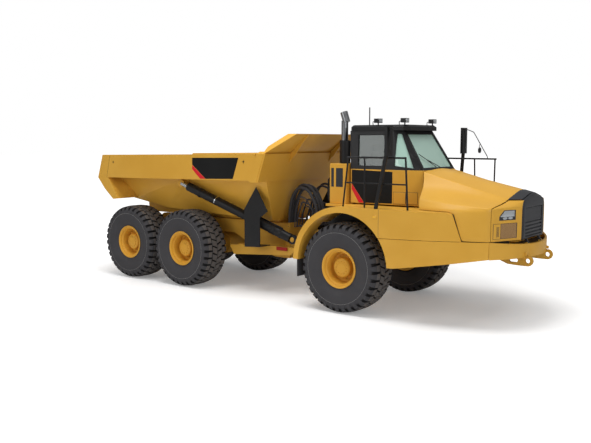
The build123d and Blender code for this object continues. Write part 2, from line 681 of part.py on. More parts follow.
REAR_WINDOW_SPAN = (-450, -200)
GLASS = 8


def plan_ring(points, height, inset=0):
    """A closed plan outline from its right half, which is mirrored to the left."""
    right = [(s, -(y - inset)) for s, y in points]
    right[0] = (right[0][0] + inset, right[0][1])
    right[-1] = (right[-1][0] - inset, right[-1][1])
    left = [(s, -y) for s, y in reversed(right)]
    return outline(plan_plane(height), right + left)


def cab_lower(inset, low, high):
    """The cab's base as a solid between two heights, or the same set inwards."""
    return extrude(plan_ring(CAB_LOW, low, inset), amount=high - low, mode=Mode.PRIVATE)


def cab_upper(inset):
    """The cab's glasshouse as a solid, or the same set inwards."""
    ends = [plan_ring(CAB_MID, CAB_WAIST, inset), plan_ring(CAB_TOP, CAB_HEAD, inset)]
    return loft(ends, ruled=True, mode=Mode.PRIVATE)


with BuildPart() as cab_base:
    add(cab_lower(0, CAB_FLOOR, CAB_WAIST))
    add(cab_lower(CAB_WALL, CAB_FLOOR + FLOOR_PLATE, CAB_HEAD), mode=Mode.SUBTRACT)
    side_plate(grown(DOOR, DOOR_SWING_GAP), 600, 900, mode=Mode.SUBTRACT)
cab_base.part.label = "cab_base"
export_step(cab_base.part, "parts/cab_base.step")

with BuildPart() as cab_frame:
    add(cab_upper(0))
    add(cab_upper(CAB_WALL), mode=Mode.SUBTRACT)
    side_plate(grown(DOOR, DOOR_SWING_GAP), 500, 900, mode=Mode.SUBTRACT)
    side_plate(SIDE_WINDOW, -900, -500, mode=Mode.SUBTRACT)
    for side in (-1, 1):
        side_plate(FRONT_WINDOW, *sorted((side * 400, side * 900)), mode=Mode.SUBTRACT)
    cross_plate(WINDSCREEN, *WINDSCREEN_SPAN, mode=Mode.SUBTRACT)
    cross_plate(REAR_WINDOW, *REAR_WINDOW_SPAN, mode=Mode.SUBTRACT)
cab_frame.part.label = "cab_frame"
export_step(cab_frame.part, "parts/cab_frame.step")

with BuildPart() as panes:
    side_plate(SIDE_WINDOW, -900, -500)
    for side in (-1, 1):
        side_plate(FRONT_WINDOW, *sorted((side * 400, side * 900)))
    cross_plate(WINDSCREEN, *WINDSCREEN_SPAN)
    cross_plate(REAR_WINDOW, *REAR_WINDOW_SPAN)

with BuildPart() as cab_windows:
    add(cab_upper(CAB_WALL / 2))
    add(cab_upper(CAB_WALL / 2 + GLASS), mode=Mode.SUBTRACT)
    add(panes.part, mode=Mode.INTERSECT)
cab_windows.part.label = "cab_windows"
export_step(cab_windows.part, "parts/cab_windows.step")

DOOR_GLASS = ((-130, 3020), (-130, 3600), (520, 3600), (620, 3020))

with BuildPart() as cab_door:
    add(cab_lower(0, CAB_FLOOR, CAB_WAIST))
    add(cab_lower(CAB_WALL, CAB_FLOOR - FLOOR_PLATE, CAB_WAIST + 1), mode=Mode.SUBTRACT)
    add(cab_upper(0))
    add(cab_upper(CAB_WALL), mode=Mode.SUBTRACT)
    side_plate(DOOR, 550, 900, mode=Mode.INTERSECT)
    side_plate(DOOR_GLASS, 500, 900, mode=Mode.SUBTRACT)
    for low in (2420, 2820):
        block((DOOR_PIVOT[0] - 12, DOOR_PIVOT[0] + 70), (824, DOOR_PIVOT[1] + 22), (low, low + 90))
        block((DOOR[0][0] + 10, DOOR_PIVOT[0] + 70), (812, 830), (low, low + 90))
        post(*DOOR_PIVOT, 22, low, low + 90)
        post(*DOOR_PIVOT, 10 + RUNNING, low - 10, low + 100, mode=Mode.SUBTRACT)
cab_door.part.label = "cab_door"
export_step(cab_door.part, "parts/cab_door.step")

with BuildPart() as door_glass:
    add(cab_upper(CAB_WALL / 2))
    add(cab_upper(CAB_WALL / 2 + GLASS), mode=Mode.SUBTRACT)
    side_plate(DOOR_GLASS, 500, 900, mode=Mode.INTERSECT)
door_glass.part.label = "door_glass"
export_step(door_glass.part, "parts/door_glass.step")

with BuildPart() as door_hinges:
    for low in (2420, 2820):
        for start in (low - 40, low + 91):
            block((DOOR_PIVOT[0] - 70, DOOR_PIVOT[0] + 8), (820 + SEAT, DOOR_PIVOT[1] + 20), (start, start + 39))
        post(*DOOR_PIVOT, 10, low - 40, low + 130)
door_hinges.part.label = "door_hinges"
export_step(door_hinges.part, "parts/door_hinges.step")

ROOF_Z = (CAB_HEAD + SEAT, 3880)

ROOF_EDGE = 40  # height of the roof's rolled edge
ROOF_PLAN = (  # station, half width: from the rear corner forward
    (-400, 620),
    (-300, 720),
    (940, 720),
    (1010, 560),
)
ROOF_TOP_PLAN = ((-360, 590), (-270, 670), (900, 670), (960, 530))
ANTENNA = (-330, 12, 4280)  # station, radius, height of its tip

with BuildPart() as cab_roof:
    rings = [plan_ring(ROOF_PLAN, z) for z in (ROOF_Z[0], ROOF_Z[1] - ROOF_EDGE)]
    loft([rings[0], rings[1]], ruled=True)
    loft([rings[1], plan_ring(ROOF_TOP_PLAN, ROOF_Z[1])], ruled=True)
    post(ANTENNA[0], 0, ANTENNA[1], ROOF_Z[1] - 5, ANTENNA[2])
cab_roof.part.label = "cab_roof"
export_step(cab_roof.part, "parts/cab_roof.step")

with BuildPart() as cab_interior:
    floor = CAB_FLOOR + FLOOR_PLATE + SEAT
    block((-60, 420), (-240, 240), (floor, floor + 330))
    block((-100, 440), (-270, 270), (floor + 330, floor + 480))
    side_plate(((-150, floor + 420), (-60, floor + 400), (-110, floor + 1050), (-190, floor + 1050)), -250, 250)
    # dash on the firewall with the steering column and wheel
    side_plate(((1100, floor), (1100, 2900), (1200, 2960), (1330, 2960), (1330, floor)), -560, 560)
    with Locations(Plane(origin=(FRONT_AXLE_X + 980, 0, 2950), z_dir=(-0.5, 0, 0.866))):
        Cylinder(25, 520)
    with Locations(Plane(origin=(FRONT_AXLE_X + 850, 0, 3175), z_dir=(-0.5, 0, 0.866))):
        Torus(190, 16)
        Box(370, 30, 14)
        Box(30, 370, 14)
cab_interior.part.label = "cab_interior"
export_step(cab_interior.part, "parts/cab_interior.step")

# ---------------------------------------------------------------- behind the cab
PACK_SPAN = (-765, -330)
PACK_HALF = 900
PACK_TOP = 3060

with BuildPart() as cooling_pack:
    block(PACK_SPAN, (-PACK_HALF, PACK_HALF), (PLATFORM_Z[1] + SEAT, PACK_TOP))
cooling_pack.part.label = "cooling_pack"
export_step(cooling_pack.part, "parts/cooling_pack.step")

with BuildPart() as exhaust_stack:
    post(-650, -500, 110, PACK_TOP + SEAT, 3560)
    post(-650, -500, 75, 3500, 3985)
    with Locations(Plane(origin=(FRONT_AXLE_X - 640, -500, 4060), z_dir=(-0.35, 0, 1))):
        Cylinder(82, 230)
exhaust_stack.part.label = "exhaust_stack"
export_step(exhaust_stack.part, "parts/exhaust_stack.step")

with BuildPart() as air_cleaner:
    post(-480, -720, 110, PACK_TOP + SEAT, 3550)
air_cleaner.part.label = "air_cleaner"
export_step(air_cleaner.part, "parts/air_cleaner.step")

with BuildPart() as mudflaps:
    for side in (-1, 1):
        low, high = sorted((side * 1045, side * 1685))
        block((-1060, -1039.5), (low, high), (660, 1065))
mudflaps.part.label = "mudflaps"
export_step(mudflaps.part, "parts/mudflaps.step")

DECK_SEAT = FENDER_TOP + SEAT  # height where posts stand on the fender's deck
POST_SINK = 30  # a post is drawn this far past its seat and cut level there


def level_feet():
    """Cuts posts level where they stand on the deck."""
    block((-500, 3000), (-2000, 2000), (DECK_SEAT - 3 * POST_SINK, DECK_SEAT), mode=Mode.SUBTRACT)


RAIL_TUBE = 19
POST_TUBE = 17

with BuildPart() as handrails:
    foot = DECK_SEAT - POST_SINK
    tube(((60, -1600, foot), (190, -1600, 3220)), POST_TUBE)
    tube(((580, -1600, foot), (580, -1600, 3220)), POST_TUBE)
    tube(((1560, -1600, foot), (1500, -1600, 3220), (170, -1600, 3220)), RAIL_TUBE)
    tube(((110, -1600, 2710), (1545, -1600, 2710)), POST_TUBE - 2)
    for station in (820, 1500, 1980):
        tube(((station, 1560 - max(0, station - 1500) * 0.2, foot), (station, 1480, 3150)), POST_TUBE)
    tube(((790, 1480, 3150), (2010, 1480, 3150)), RAIL_TUBE)
    level_feet()
handrails.part.label = "handrails"
export_step(handrails.part, "parts/handrails.step")

MIRROR_POST = 40  # radius
MIRROR_OUT = FENDER_HALF - 48  # distance out of the mirrors' posts
MIRROR_HEAD = (-130, 90)  # a mirror's shell from its post: inwards and outwards

with BuildPart() as mirrors:
    tube(((880, -MIRROR_OUT, foot), (1220, -MIRROR_OUT, 3800)), MIRROR_POST)
    block((1120, 1180), (-MIRROR_OUT - MIRROR_HEAD[1], -MIRROR_OUT - MIRROR_HEAD[0]), (3260, 3840))
    tube(((1060, MIRROR_OUT, foot), (1170, MIRROR_OUT, 3800)), MIRROR_POST)
    block((1120, 1180), (MIRROR_OUT + MIRROR_HEAD[0], MIRROR_OUT + MIRROR_HEAD[1]), (3260, 3840))
    level_feet()
mirrors.part.label = "mirrors"
export_step(mirrors.part, "parts/mirrors.step")

WORK_LAMPS = ((270, -610), (900, -600), (900, 600))  # station and distance out of each lamp on the roof
LAMP_STALK = 14
LAMP_BODY = (60, 75, 45)  # half sizes

with BuildPart() as work_lamps:
    for station, y in WORK_LAMPS:
        base = ROOF_Z[1] + SEAT
        post(station, y, LAMP_STALK, base, base + 60)
        block(
            (station - LAMP_BODY[0], station + LAMP_BODY[0]),
            (y - LAMP_BODY[1], y + LAMP_BODY[1]),
            (base + 40, base + 40 + 2 * LAMP_BODY[2]),
        )
work_lamps.part.label = "work_lamps"
export_step(work_lamps.part, "parts/work_lamps.step")

# ---------------------------------------------------------------- hitch
HITCH_BARREL = 160
SPIGOT_RADIUS = 170
SPIGOT_END = -2480
FLANGE = (-1990, -1930)
FLANGE_RADIUS_HITCH = 300
STEER_EYE_RADIUS = 60

with BuildPart() as hitch:
    post(HITCH, 0, HITCH_BARREL, EAR_HEIGHTS[0][1] + CLEAR, EAR_HEIGHTS[1][0] - CLEAR)
    post(HITCH, 0, HITCH_PIN, EAR_HEIGHTS[0][0] - 10, EAR_HEIGHTS[1][1] + 10)
    block((FLANGE[0], HITCH), (-140, 140), (910, 1230))
    long_bar(*FLANGE, 0, HITCH_Z, FLANGE_RADIUS_HITCH)
    long_bar(SPIGOT_END, FLANGE[0], 0, HITCH_Z, SPIGOT_RADIUS)
    # arms above and below the steering cylinders' rear eyes
    for low, high in ((STEER_EYE[0] - 46, STEER_EYE[0] - CLEAR), (STEER_EYE[1] + CLEAR, STEER_EYE[1] + 46)):
        for side in (-1, 1):
            arm = (
                (HITCH + 60, 0),
                (STEER_REAR[0] + 60, side * STEER_REAR[1]),
                (STEER_REAR[0] - 60, side * STEER_REAR[1]),
                (STEER_REAR[0] - 60, 0),
            )
            plan_plate(arm, low, high)
            post(STEER_REAR[0], side * STEER_REAR[1], STEER_EYE_RADIUS, low, high)
hitch.part.label = "hitch"
export_step(hitch.part, "parts/hitch.step")

# ---------------------------------------------------------------- steering cylinders
STEER_BARREL_RADIUS = 60
STEER_ROD_RADIUS = 34
STEER_BARREL_END = 840  # front pin to the barrel's open end
STEER_ROD_START = 460  # front pin to the rod's hidden end at rest
STEER_Z = (STEER_EYE[0] + STEER_EYE[1]) / 2

for hand, side in (("right", -1), ("left", 1)):
    with BuildPart() as steer_barrel:
        post(STEER_FRONT[0], side * STEER_FRONT[1], STEER_EYE_RADIUS, *STEER_EYE)
        long_bar(
            STEER_FRONT[0] - STEER_BARREL_END,
            STEER_FRONT[0] - STEER_EYE_RADIUS + 10,
            side * STEER_FRONT[1],
            STEER_Z,
            (STEER_EYE[1] - STEER_EYE[0]) / 2,
        )
        long_bar(
            STEER_FRONT[0] - STEER_BARREL_END,
            STEER_FRONT[0] - 120,
            side * STEER_FRONT[1],
            STEER_Z,
            STEER_BARREL_RADIUS,
        )
        long_bar(
            STEER_FRONT[0] - STEER_BARREL_END - 1,
            STEER_FRONT[0] - 150,
            side * STEER_FRONT[1],
            STEER_Z,
            STEER_ROD_RADIUS + RUNNING,
            mode=Mode.SUBTRACT,
        )
        post(STEER_FRONT[0], side * STEER_FRONT[1], STEER_PIN + RUNNING, 900, 1300, mode=Mode.SUBTRACT)
    steer_barrel.part.label = f"steer_barrel_{hand}"
    export_step(steer_barrel.part, f"parts/steer_barrel_{hand}.step")

    with BuildPart() as steer_rod:
        long_bar(
            STEER_REAR[0],
            STEER_FRONT[0] - STEER_ROD_START,
            side * STEER_FRONT[1],
            STEER_Z,
            STEER_ROD_RADIUS,
        )
        post(STEER_REAR[0], side * STEER_REAR[1], STEER_EYE_RADIUS, *STEER_EYE)
    steer_rod.part.label = f"steer_rod_{hand}"
    export_step(steer_rod.part, f"parts/steer_rod_{hand}.step")

# ---------------------------------------------------------------- rear frame
REAR_RAIL = (400, 550)
REAR_RAIL_SIDE = (  # station, height
    (-2150, 1620),
    (-2150, 800),
    (-2600, 800),
    (-3400, 1050),
    (-3900, 1280),
    (-7080, 1280),
    (-7080, 1440),
    (-6700, 1470),
    (-6500, 1620),
)
TIP_EAR = (558, 630)  # distances out of the dump hinge's ears on the rear frame
TIP_EAR_RADIUS = 110
TIP_PIN = 60
BEAM_PIVOT = ((MID_AXLE + REAR_AXLE) / 2, 1000)  # station and height of the walking beams' cross tube
BEAM_TUBE = 110
BEAM_OUT = (620, 800)
OUTRIGGER = (940, 1000)
HOIST_BALL = 70
HOIST_NECK = 34

with BuildPart() as rear_frame:
    for side in (-1, 1):
        low, high = sorted((side * REAR_RAIL[0], side * REAR_RAIL[1]))
        side_plate(REAR_RAIL_SIDE, low, high)
        # ears of the dump body's hinge
        low, high = sorted((side * TIP_EAR[0], side * TIP_EAR[1]))
        side_plate(
            (
                (TIP_PIVOT[0] - 160, 1290),
                (TIP_PIVOT[0] + 260, 1290),
                (TIP_PIVOT[0] + 260, 1420),
                (TIP_PIVOT[0] + TIP_EAR_RADIUS, TIP_PIVOT[1]),
                (TIP_PIVOT[0] - TIP_EAR_RADIUS, TIP_PIVOT[1]),
            ),
            low,
            high,
        )
        cross_bar(*TIP_PIVOT, TIP_EAR_RADIUS, low, high)
        low, high = sorted((side * (REAR_RAIL[1] - 10), side * TIP_EAR[1]))
        block((TIP_PIVOT[0] - 130, TIP_PIVOT[0] + 200), (low, high), (1300, 1400))
        # hangers of the walking beams' tube
        low, high = sorted((side * REAR_RAIL[0], side * REAR_RAIL[1]))
        side_plate(
            (
                (BEAM_PIVOT[0] - 260, 1300),
                (BEAM_PIVOT[0] - 150, BEAM_PIVOT[1] - 130),
                (BEAM_PIVOT[0] + 150, BEAM_PIVOT[1] - 130),
                (BEAM_PIVOT[0] + 260, 1300),
            ),
            low,
            high,
        )
        # outrigger that carries the hoist's foot
        low, high = sorted((side * OUTRIGGER[0], side * OUTRIGGER[1]))
        side_plate(
            (
                (-3650, 1050),
                (-3520, 830),
                (-1780, 960),
                (HOIST_LOW[0] + 50, 1060),
                (HOIST_LOW[0] + 50, 1140),
                (-2170, 1140),
            ),
            low,
            high,
        )
        # bracket, neck and ball of the hoist's foot
        low, high = sorted((side * (HOIST_LOW[1] - 130), side * (HOIST_LOW[1] - 85)))
        side_plate(
            (
                (HOIST_LOW[0] - 220, 1000),
                (HOIST_LOW[0] + 45, 1060),
                (HOIST_LOW[0] + 45, HOIST_LOW[2] + 30),
                (HOIST_LOW[0] - 45, HOIST_LOW[2] + 30),
            ),
            low,
            high,
        )
        low, high = sorted((side * (HOIST_LOW[1] - 130), side * OUTRIGGER[1]))
        block((HOIST_LOW[0] - 200, HOIST_LOW[0] + 40), (low, high), (1060, 1120))
        low, high = sorted((side * (HOIST_LOW[1] - 130), side * HOIST_LOW[1]))
        cross_bar(HOIST_LOW[0], HOIST_LOW[2], HOIST_NECK, low, high)
        with Locations((FRONT_AXLE_X + HOIST_LOW[0], side * HOIST_LOW[1], HOIST_LOW[2])):
            Sphere(HOIST_BALL)
        low, high = sorted((side * REAR_RAIL[1], side * OUTRIGGER[1]))
        for station in (-2330, -3300):
            block((station - 80, station + 80), (low, high), (930, 1090))
    block((-2230, -2150), (-REAR_RAIL[1], REAR_RAIL[1]), (800, 1560))
    long_bar(SPIGOT_END - 20, FLANGE[0] - CLEAR, 0, HITCH_Z, 260)
    long_bar(SPIGOT_END - 30, FLANGE[0] + 10, 0, HITCH_Z, SPIGOT_RADIUS + RUNNING, mode=Mode.SUBTRACT)
    for station in (-3700, -4900, -6300):
        block((station - 60, station + 60), (-REAR_RAIL[0] - 1, REAR_RAIL[0] + 1), (1330, 1560))
    cross_bar(BEAM_PIVOT[0], BEAM_PIVOT[1], BEAM_TUBE, -BEAM_OUT[0] - 170, BEAM_OUT[0] + 170)
    cross_bar(-7000, 1350, 70, -REAR_RAIL[1], REAR_RAIL[1])
    cross_bar(*TIP_PIVOT, TIP_PIN + RUNNING, -TIP_EAR[1] - 1, TIP_EAR[1] + 1, mode=Mode.SUBTRACT)
rear_frame.part.label = "rear_frame"
export_step(rear_frame.part, "parts/rear_frame.step")

TAIL_LAMP = (-7135, 1300, 1420)  # station of its lens, its lower and upper heights

with BuildPart() as tail_lamps:
    for side in (-1, 1):
        low, high = sorted((side * REAR_RAIL[0], side * REAR_RAIL[1]))
        block((TAIL_LAMP[0], REAR_RAIL_SIDE[5][0] - SEAT), (low, high), TAIL_LAMP[1:])
tail_lamps.part.label = "tail_lamps"
export_step(tail_lamps.part, "parts/tail_lamps.step")

with BuildPart() as walking_beams:
    for side in (-1, 1):
        low, high = sorted((side * BEAM_OUT[0], side * BEAM_OUT[1]))
        beam = (
            (MID_AXLE + 120, TYRE_RADIUS - 170),
            (MID_AXLE + 200, TYRE_RADIUS + 60),
            (MID_AXLE - 150, TYRE_RADIUS + 210),
            (BEAM_PIVOT[0], BEAM_PIVOT[1] + 190),
            (REAR_AXLE + 150, TYRE_RADIUS + 210),
            (REAR_AXLE - 200, TYRE_RADIUS + 60),
            (REAR_AXLE - 120, TYRE_RADIUS - 170),
            (REAR_AXLE + 300, TYRE_RADIUS - 200),
            (BEAM_PIVOT[0], BEAM_PIVOT[1] - 230),
            (MID_AXLE - 300, TYRE_RADIUS - 200),
        )
        side_plate(beam, low, high)
        for station in (MID_AXLE, REAR_AXLE):
            cross_bar(station, TYRE_RADIUS, AXLE_TUBE + SEAT, low - 1, high + 1, mode=Mode.SUBTRACT)
        cross_bar(*BEAM_PIVOT, BEAM_TUBE + SEAT, low - 1, high + 1, mode=Mode.SUBTRACT)
walking_beams.part.label = "walking_beams"
export_step(walking_beams.part, "parts/walking_beams.step")

OUTRIGGER_TOP = ((-3650, 1050), (-2170, 1140))  # station and height of the ends of the outrigger's top edge


def outrigger_top(station):
    """Height of the outrigger's sloping top edge."""
    (rear, low), (front, high) = OUTRIGGER_TOP
    return low + (station - rear) * (high - low) / (front - rear)


GUARD_OUT = (1295, 1315)  # distances out of a hoist guard's two faces

with BuildPart() as hoist_guards:
    for side in (-1, 1):
        low, high = sorted((side * GUARD_OUT[0], side * GUARD_OUT[1]))
        foot_rear, foot_front = (outrigger_top(station) + SEAT for station in (-2890, -2420))
        guard = (
            (-2890, foot_rear),
            (-2890, 1850),
            (-2900, 1970),
            (-2530, 2500),
            (-2190, 1960),
            (-2420, 1800),
            (-2420, foot_front),
        )
        side_plate(guard, low, high)
        low, high = sorted((side * (OUTRIGGER[0] + 10), side * GUARD_OUT[1]))
        foot = ((-2890, foot_rear), (-2420, foot_front), (-2420, foot_front + 20), (-2890, foot_rear + 20))
        side_plate(foot, low, high)
hoist_guards.part.label = "hoist_guards"
export_step(hoist_guards.part, "parts/hoist_guards.step")

with BuildPart() as lock_bar:
    for side in (-1, 1):
        low, high = sorted((side * (OUTRIGGER[1] + SEAT), side * (OUTRIGGER[1] + 30)))
        block((-2170, -1860), (low, high), (1050, 1130))
lock_bar.part.label = "lock_bar"
export_step(lock_bar.part, "parts/lock_bar.step")

# ---------------------------------------------------------------- dump body
TUB_LOW = (840, 1690)  # foot of the tub's sloping side: distance out, height
TUB_HIGH = (1625, 3220)  # its top
TUB_WALL = 20
FRONT_FACE = ((-2430, 1690), (-2210, 2620), (-1960, 3262))  # the front wall in side view
FLOOR = ((-5900, 1815), (-7150, 2030), (-7480, 2300), (-7735, 2600))  # the floor's underside behind it
RAIL_OUT = 1710
RAIL_PLATE = 20
TUB_RAIL = ((-7450, 2590), (-2210, 2665), (-2210, 3258), (-7450, 3180))
TAIL_SIDE = (
    (-7540, 3180),
    (-7750, 2580),
    (-7480, 2290),
    (-7150, 2030),
    (-6950, 2050),
    (-7130, 2330),
    (-7330, 2590),
    (-7200, 3180),
)
FRONT_POST = ((-2380, 2630), (-2180, 2630), (-1950, 3265), (-2170, 3265))
SPILL_BASE = ((-2170, -1955), 1708, 3262)
SPILL_TOP = ((-1680, -1435), 1200, 3700)
SPILL_WALL = 16
HEADER = ((-2242, 2640), (-2132, 2640), (-1905, 3262), (-2000, 3262))
SPILL_RIB = ((-2010, 3040), (-1985, 3040), (-1830, 3200), (-1440, 3660), (-1440, 3690), (-1955, 3250))


def tub_prism(inset, lift, s_low, s_high):
    """The tub's wedge-shaped cross section, set inwards, as a prism."""
    slope = (TUB_HIGH[0] - TUB_LOW[0]) / (TUB_HIGH[1] - TUB_LOW[1])
    low_z, high_z = TUB_LOW[1] + lift, TUB_HIGH[1] + 300
    low_out = TUB_LOW[0] - inset + slope * lift
    high_out = TUB_HIGH[0] - inset + slope * 300
    section = ((-low_out, low_z), (-high_out, high_z), (high_out, high_z), (low_out, low_z))
    return extrude(outline(cross_plane(s_low), section), amount=s_high - s_low, mode=Mode.PRIVATE)


def rectangle(stations, half, height):
    """A plan rectangle at a height."""
    return outline(
        plan_plane(height),
        ((stations[0], -half), (stations[1], -half), (stations[1], half), (stations[0], half)),
    )


with BuildPart() as tub_outer:
    add(tub_prism(0, 0, -7800, -1900))
    tub_side = list(FRONT_FACE) + [(-7540, 3178)] + [(-7750, 2580)] + list(reversed(FLOOR[:-1]))
    side_plate(tub_side, -2000, 2000, mode=Mode.INTERSECT)

with BuildPart() as tub_inner:
    add(tub_prism(TUB_WALL * 1.12, TUB_WALL, -8300, -1900))
    inner_side = [
        (FRONT_FACE[0][0] - 30, FRONT_FACE[0][1] + TUB_WALL),
        (FRONT_FACE[1][0] - 30, FRONT_FACE[1][1]),
        (FRONT_FACE[2][0] - 30, FRONT_FACE[2][1]),
        (FRONT_FACE[2][0] - 30, 3600),
        (-8200, 3600),
        (-8200, 2600 + TUB_WALL),
        (-7735, 2600 + TUB_WALL),
        (-7480, 2300 + TUB_WALL),
        (-7150, 2030 + TUB_WALL),
        (-5900, 1815 + TUB_WALL),
    ]
    side_plate(inner_side, -2000, 2000, mode=Mode.INTERSECT)

with BuildPart() as dump_body:
    for side in (-1, 1):
        low, high = sorted((side * 1000, side * RAIL_OUT))
        side_plate(TUB_RAIL, low, high)
        low, high = sorted((side * 1000, side * (RAIL_OUT - RAIL_PLATE)))
        hollow = [(s, z + (RAIL_PLATE if z < 2900 else -RAIL_PLATE)) for s, z in TUB_RAIL]
        side_plate(hollow, low, high, mode=Mode.SUBTRACT)
        low, high = sorted((side * 1000, side * RAIL_OUT))
        side_plate(TAIL_SIDE, low, high)
        side_plate(FRONT_POST, *sorted((side * 1580, side * (RAIL_OUT + 8))))
    add(tub_outer.part)
    # boxed header across the front wall
    side_plate(HEADER, -RAIL_OUT, RAIL_OUT)
    add(tub_inner.part, mode=Mode.SUBTRACT)
    # spill guard leaning forward over the cab
    loft([rectangle(*SPILL_BASE), rectangle(*SPILL_TOP)], ruled=True)
    lean = (SPILL_TOP[0][1] - SPILL_BASE[0][1]) / (SPILL_TOP[2] - SPILL_BASE[2])
    base = ((SPILL_BASE[0][0] - 200, SPILL_BASE[0][1] - SPILL_WALL), SPILL_BASE[1] - SPILL_WALL, SPILL_BASE[2] - 1)
    top_edge = SPILL_TOP[0][1] - SPILL_WALL - lean * SPILL_WALL
    top = ((SPILL_TOP[0][0] - 200, top_edge), SPILL_TOP[1] - SPILL_WALL, SPILL_TOP[2] - SPILL_WALL)
    loft([rectangle(*base), rectangle(*top)], ruled=True, mode=Mode.SUBTRACT)
    for y in (-780, 780):
        side_plate(SPILL_RIB, y - 15, y + 15)
    # sub-rails on the rear frame, and the hinge's lugs and pins
    for side in (-1, 1):
        low, high = sorted((side * 410, side * 530))
        side_plate(
            ((-2500, 1640), (-6760, 1640), (-7100, 1800), (-7100, 2025), (-5900, 1816), (-2440, 1691)),
            low,
            high,
        )
        low, high = sorted((side * 440, side * 530))
        side_plate(
            (
                (TIP_PIVOT[0] - TIP_EAR_RADIUS, TIP_PIVOT[1]),
                (TIP_PIVOT[0] + TIP_EAR_RADIUS, TIP_PIVOT[1]),
                (TIP_PIVOT[0] + 170, 1800),
                (TIP_PIVOT[0] - 150, 1830),
            ),
            low,
            high,
        )
        cross_bar(*TIP_PIVOT, TIP_EAR_RADIUS, low, high)
        cross_bar(*TIP_PIVOT, TIP_PIN, *sorted((side * 440, side * (TIP_EAR[1] + 10))))
        # brackets of the hoists' upper ends
        low, high = sorted((side * 1180, side * (HOIST_HIGH[1] - 75)))
        side_plate(
            (
                (HOIST_HIGH[0] - 160, 2590),
                (HOIST_HIGH[0] - 60, HOIST_HIGH[2] - 70),
                (HOIST_HIGH[0] + 60, HOIST_HIGH[2] - 70),
                (HOIST_HIGH[0] + 160, 2600),
            ),
            low,
            high,
        )
    add(tub_inner.part, mode=Mode.SUBTRACT)
dump_body.part.label = "dump_body"
export_step(dump_body.part, "parts/dump_body.step")

# ---------------------------------------------------------------- hoist cylinders
HOIST_BARREL_RADIUS = 105
HOIST_BARREL_END = 3150  # lower ball to the barrel's open end
HOIST_ROD_RADIUS = 60
HOIST_ROD_START = 260  # lower ball to the rod's hidden end at rest
HOIST_EYE = 92
HOIST_EYE_WIDTH = 84


for hand, side in (("right", -1), ("left", 1)):
    foot = Vector(FRONT_AXLE_X + HOIST_LOW[0], side * HOIST_LOW[1], HOIST_LOW[2])
    head = Vector(FRONT_AXLE_X + HOIST_HIGH[0], side * HOIST_HIGH[1], HOIST_HIGH[2])
    along = (head - foot).normalized()
    eye_axis = Vector(-along.X * along.Y, 1 - along.Y**2, -along.Z * along.Y).normalized()
    span = (head - foot).length

    with BuildPart() as hoist_barrel:
        with Locations(Plane(origin=foot, z_dir=eye_axis)):
            Cylinder(HOIST_BARREL_RADIUS, HOIST_EYE_WIDTH)
        with Locations(Plane(origin=foot + along * (HOIST_BARREL_END + 60) / 2, z_dir=along)):
            Cylinder(HOIST_BARREL_RADIUS, HOIST_BARREL_END - 60)
        with Locations(Plane(origin=foot + along * (HOIST_BARREL_END - 400), z_dir=along)):
            Cylinder(HOIST_BARREL_RADIUS + 12, 60)
        with Locations(foot):
            Sphere(HOIST_BALL + RUNNING, mode=Mode.SUBTRACT)
        bore = (HOIST_ROD_START - 10 + HOIST_BARREL_END) / 2
        with Locations(Plane(origin=foot + along * (bore + 10), z_dir=along)):
            Cylinder(HOIST_ROD_RADIUS + RUNNING, HOIST_BARREL_END - HOIST_ROD_START + 30, mode=Mode.SUBTRACT)
    hoist_barrel.part.label = f"hoist_barrel_{hand}"
    export_step(hoist_barrel.part, f"parts/hoist_barrel_{hand}.step")

    with BuildPart() as hoist_rod:
        with Locations(Plane(origin=foot + along * (HOIST_ROD_START + span) / 2, z_dir=along)):
            Cylinder(HOIST_ROD_RADIUS, span - HOIST_ROD_START)
        with Locations(Plane(origin=head, z_dir=eye_axis)):
            Cylinder(HOIST_EYE, HOIST_EYE_WIDTH)
    hoist_rod.part.label = f"hoist_rod_{hand}"
    export_step(hoist_rod.part, f"parts/hoist_rod_{hand}.step")
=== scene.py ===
"""Articulated dump truck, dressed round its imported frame. Metres; +X forward, +Y the driver's left, +Z up."""
import json
import math

import bmesh
import bpy
import numpy as np
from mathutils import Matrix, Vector


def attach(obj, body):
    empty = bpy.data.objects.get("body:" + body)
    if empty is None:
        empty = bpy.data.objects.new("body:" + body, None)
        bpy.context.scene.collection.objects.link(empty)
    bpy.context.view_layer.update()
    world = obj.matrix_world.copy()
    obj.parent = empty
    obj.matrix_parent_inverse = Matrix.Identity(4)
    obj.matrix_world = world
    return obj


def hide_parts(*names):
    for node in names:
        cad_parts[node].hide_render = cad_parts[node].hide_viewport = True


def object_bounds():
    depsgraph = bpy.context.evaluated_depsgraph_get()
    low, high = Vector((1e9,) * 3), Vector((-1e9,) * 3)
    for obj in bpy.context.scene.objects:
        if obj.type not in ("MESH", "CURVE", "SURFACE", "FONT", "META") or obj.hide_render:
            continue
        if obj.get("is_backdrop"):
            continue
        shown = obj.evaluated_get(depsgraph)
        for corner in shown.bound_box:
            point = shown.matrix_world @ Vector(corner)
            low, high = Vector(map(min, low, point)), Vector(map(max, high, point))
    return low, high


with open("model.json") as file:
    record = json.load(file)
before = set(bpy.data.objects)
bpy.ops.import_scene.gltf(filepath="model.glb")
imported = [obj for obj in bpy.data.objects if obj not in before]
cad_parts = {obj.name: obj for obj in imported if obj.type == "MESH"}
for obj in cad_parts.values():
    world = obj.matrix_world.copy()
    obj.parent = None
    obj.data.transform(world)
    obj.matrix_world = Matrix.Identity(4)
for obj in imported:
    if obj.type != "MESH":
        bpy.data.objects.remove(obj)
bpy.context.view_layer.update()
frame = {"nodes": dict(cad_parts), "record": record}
nodes = frame["nodes"]

# The view: a long-lens camera standing low off the truck's front right corner, level with the
# driver's eyes. Stations in this file are metres forward of the front axle, as a truck is laid out.
FRONT_AXLE = 2.055
VIEW_TURN, VIEW_DIP = math.radians(37.995), math.radians(6.245)


